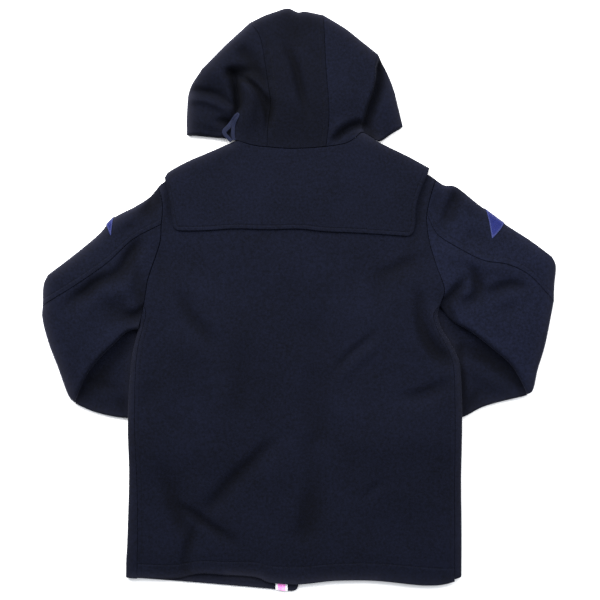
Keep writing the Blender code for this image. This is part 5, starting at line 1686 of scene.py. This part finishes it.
class COAT_OT_fronts(bpy.types.Operator):
    """Lay both fronts under the back, with the strips that wrap round to the side seams"""
    bl_idname = "coat.fronts"
    bl_label = "Fronts"

    def execute(self, context):
        build_fronts()
        return {"FINISHED"}


class COAT_OT_yoke(bpy.types.Operator):
    """Lay the shoulder yoke on the back"""
    bl_idname = "coat.yoke"
    bl_label = "Yoke"

    def execute(self, context):
        build_yoke()
        return {"FINISHED"}


class COAT_OT_sleeves(bpy.types.Operator):
    """Lay the top and under panel of both upper sleeves, folded over at the elbows"""
    bl_idname = "coat.sleeves"
    bl_label = "Upper sleeves"

    def execute(self, context):
        for sleeve in (LEFT_SLEEVE, RIGHT_SLEEVE):
            build_sleeve(sleeve)
        return {"FINISHED"}


class COAT_OT_lower_sleeves(bpy.types.Operator):
    """Lay both lower sleeves, turned in under the coat"""
    bl_idname = "coat.lower_sleeves"
    bl_label = "Lower sleeves"

    def execute(self, context):
        for sleeve in (LEFT_SLEEVE, RIGHT_SLEEVE):
            build_lower_sleeve(sleeve)
        return {"FINISHED"}


class COAT_OT_hood(bpy.types.Operator):
    """Lay the hood's three panels, crumpled flat"""
    bl_idname = "coat.hood"
    bl_label = "Hood"

    def execute(self, context):
        build_hood()
        return {"FINISHED"}


class COAT_OT_trims(bpy.types.Operator):
    """Sew on the facing tape, the neck loop and both sleeve badges"""
    bl_idname = "coat.trims"
    bl_label = "Tape, loop and badges"

    def execute(self, context):
        build_tape()
        build_loop()
        thread = badge_thread()
        build_badge(LEFT_BADGE, LEFT_SLEEVE, thread)
        build_badge(RIGHT_BADGE, RIGHT_SLEEVE, thread)
        return {"FINISHED"}


class COAT_OT_topstitching(bpy.types.Operator):
    """Sew the rows of topstitching that the panels left room for"""
    bl_idname = "coat.topstitching"
    bl_label = "Topstitching"

    def execute(self, context):
        build_stitches()
        return {"FINISHED"}


class COAT_OT_stage(bpy.types.Operator):
    """Set the floor, the light and the camera above the coat"""
    bl_idname = "coat.stage"
    bl_label = "Stage"

    def execute(self, context):
        build_stage()
        return {"FINISHED"}


OPERATORS = (COAT_OT_back, COAT_OT_fronts, COAT_OT_yoke, COAT_OT_sleeves,
             COAT_OT_lower_sleeves, COAT_OT_hood, COAT_OT_trims,
             COAT_OT_topstitching, COAT_OT_stage)


class COAT_PT_panel(bpy.types.Panel):
    """Sizes, colours and pieces of the duffle coat"""
    bl_idname = "COAT_PT_panel"
    bl_label = "Duffle Coat"
    bl_space_type = "VIEW_3D"
    bl_region_type = "UI"
    bl_category = "Coat"

    def draw(self, context):
        chosen = context.scene.duffle_coat
        for group in (chosen.cloth, chosen.stage):
            box = self.layout.box()
            for name in group.__annotations__:
                box.prop(group, name)
        for operator in OPERATORS:
            self.layout.operator(operator.bl_idname)


CLASSES = (ClothSettings, StageSettings, CoatSettings, *OPERATORS, COAT_PT_panel)


def register():
    for cls in CLASSES:
        bpy.utils.register_class(cls)
    bpy.types.Scene.duffle_coat = PointerProperty(type=CoatSettings)


def unregister():
    del bpy.types.Scene.duffle_coat
    for cls in reversed(CLASSES):
        bpy.utils.unregister_class(cls)


def main():
    register()
    deselect()
    bpy.ops.coat.back()
    bpy.ops.coat.fronts()
    bpy.ops.coat.yoke()
    bpy.ops.coat.sleeves()
    bpy.ops.coat.lower_sleeves()
    bpy.ops.coat.hood()
    bpy.ops.coat.trims()
    bpy.ops.coat.topstitching()
    bpy.ops.coat.stage()


if __name__ == "__main__":
    main()
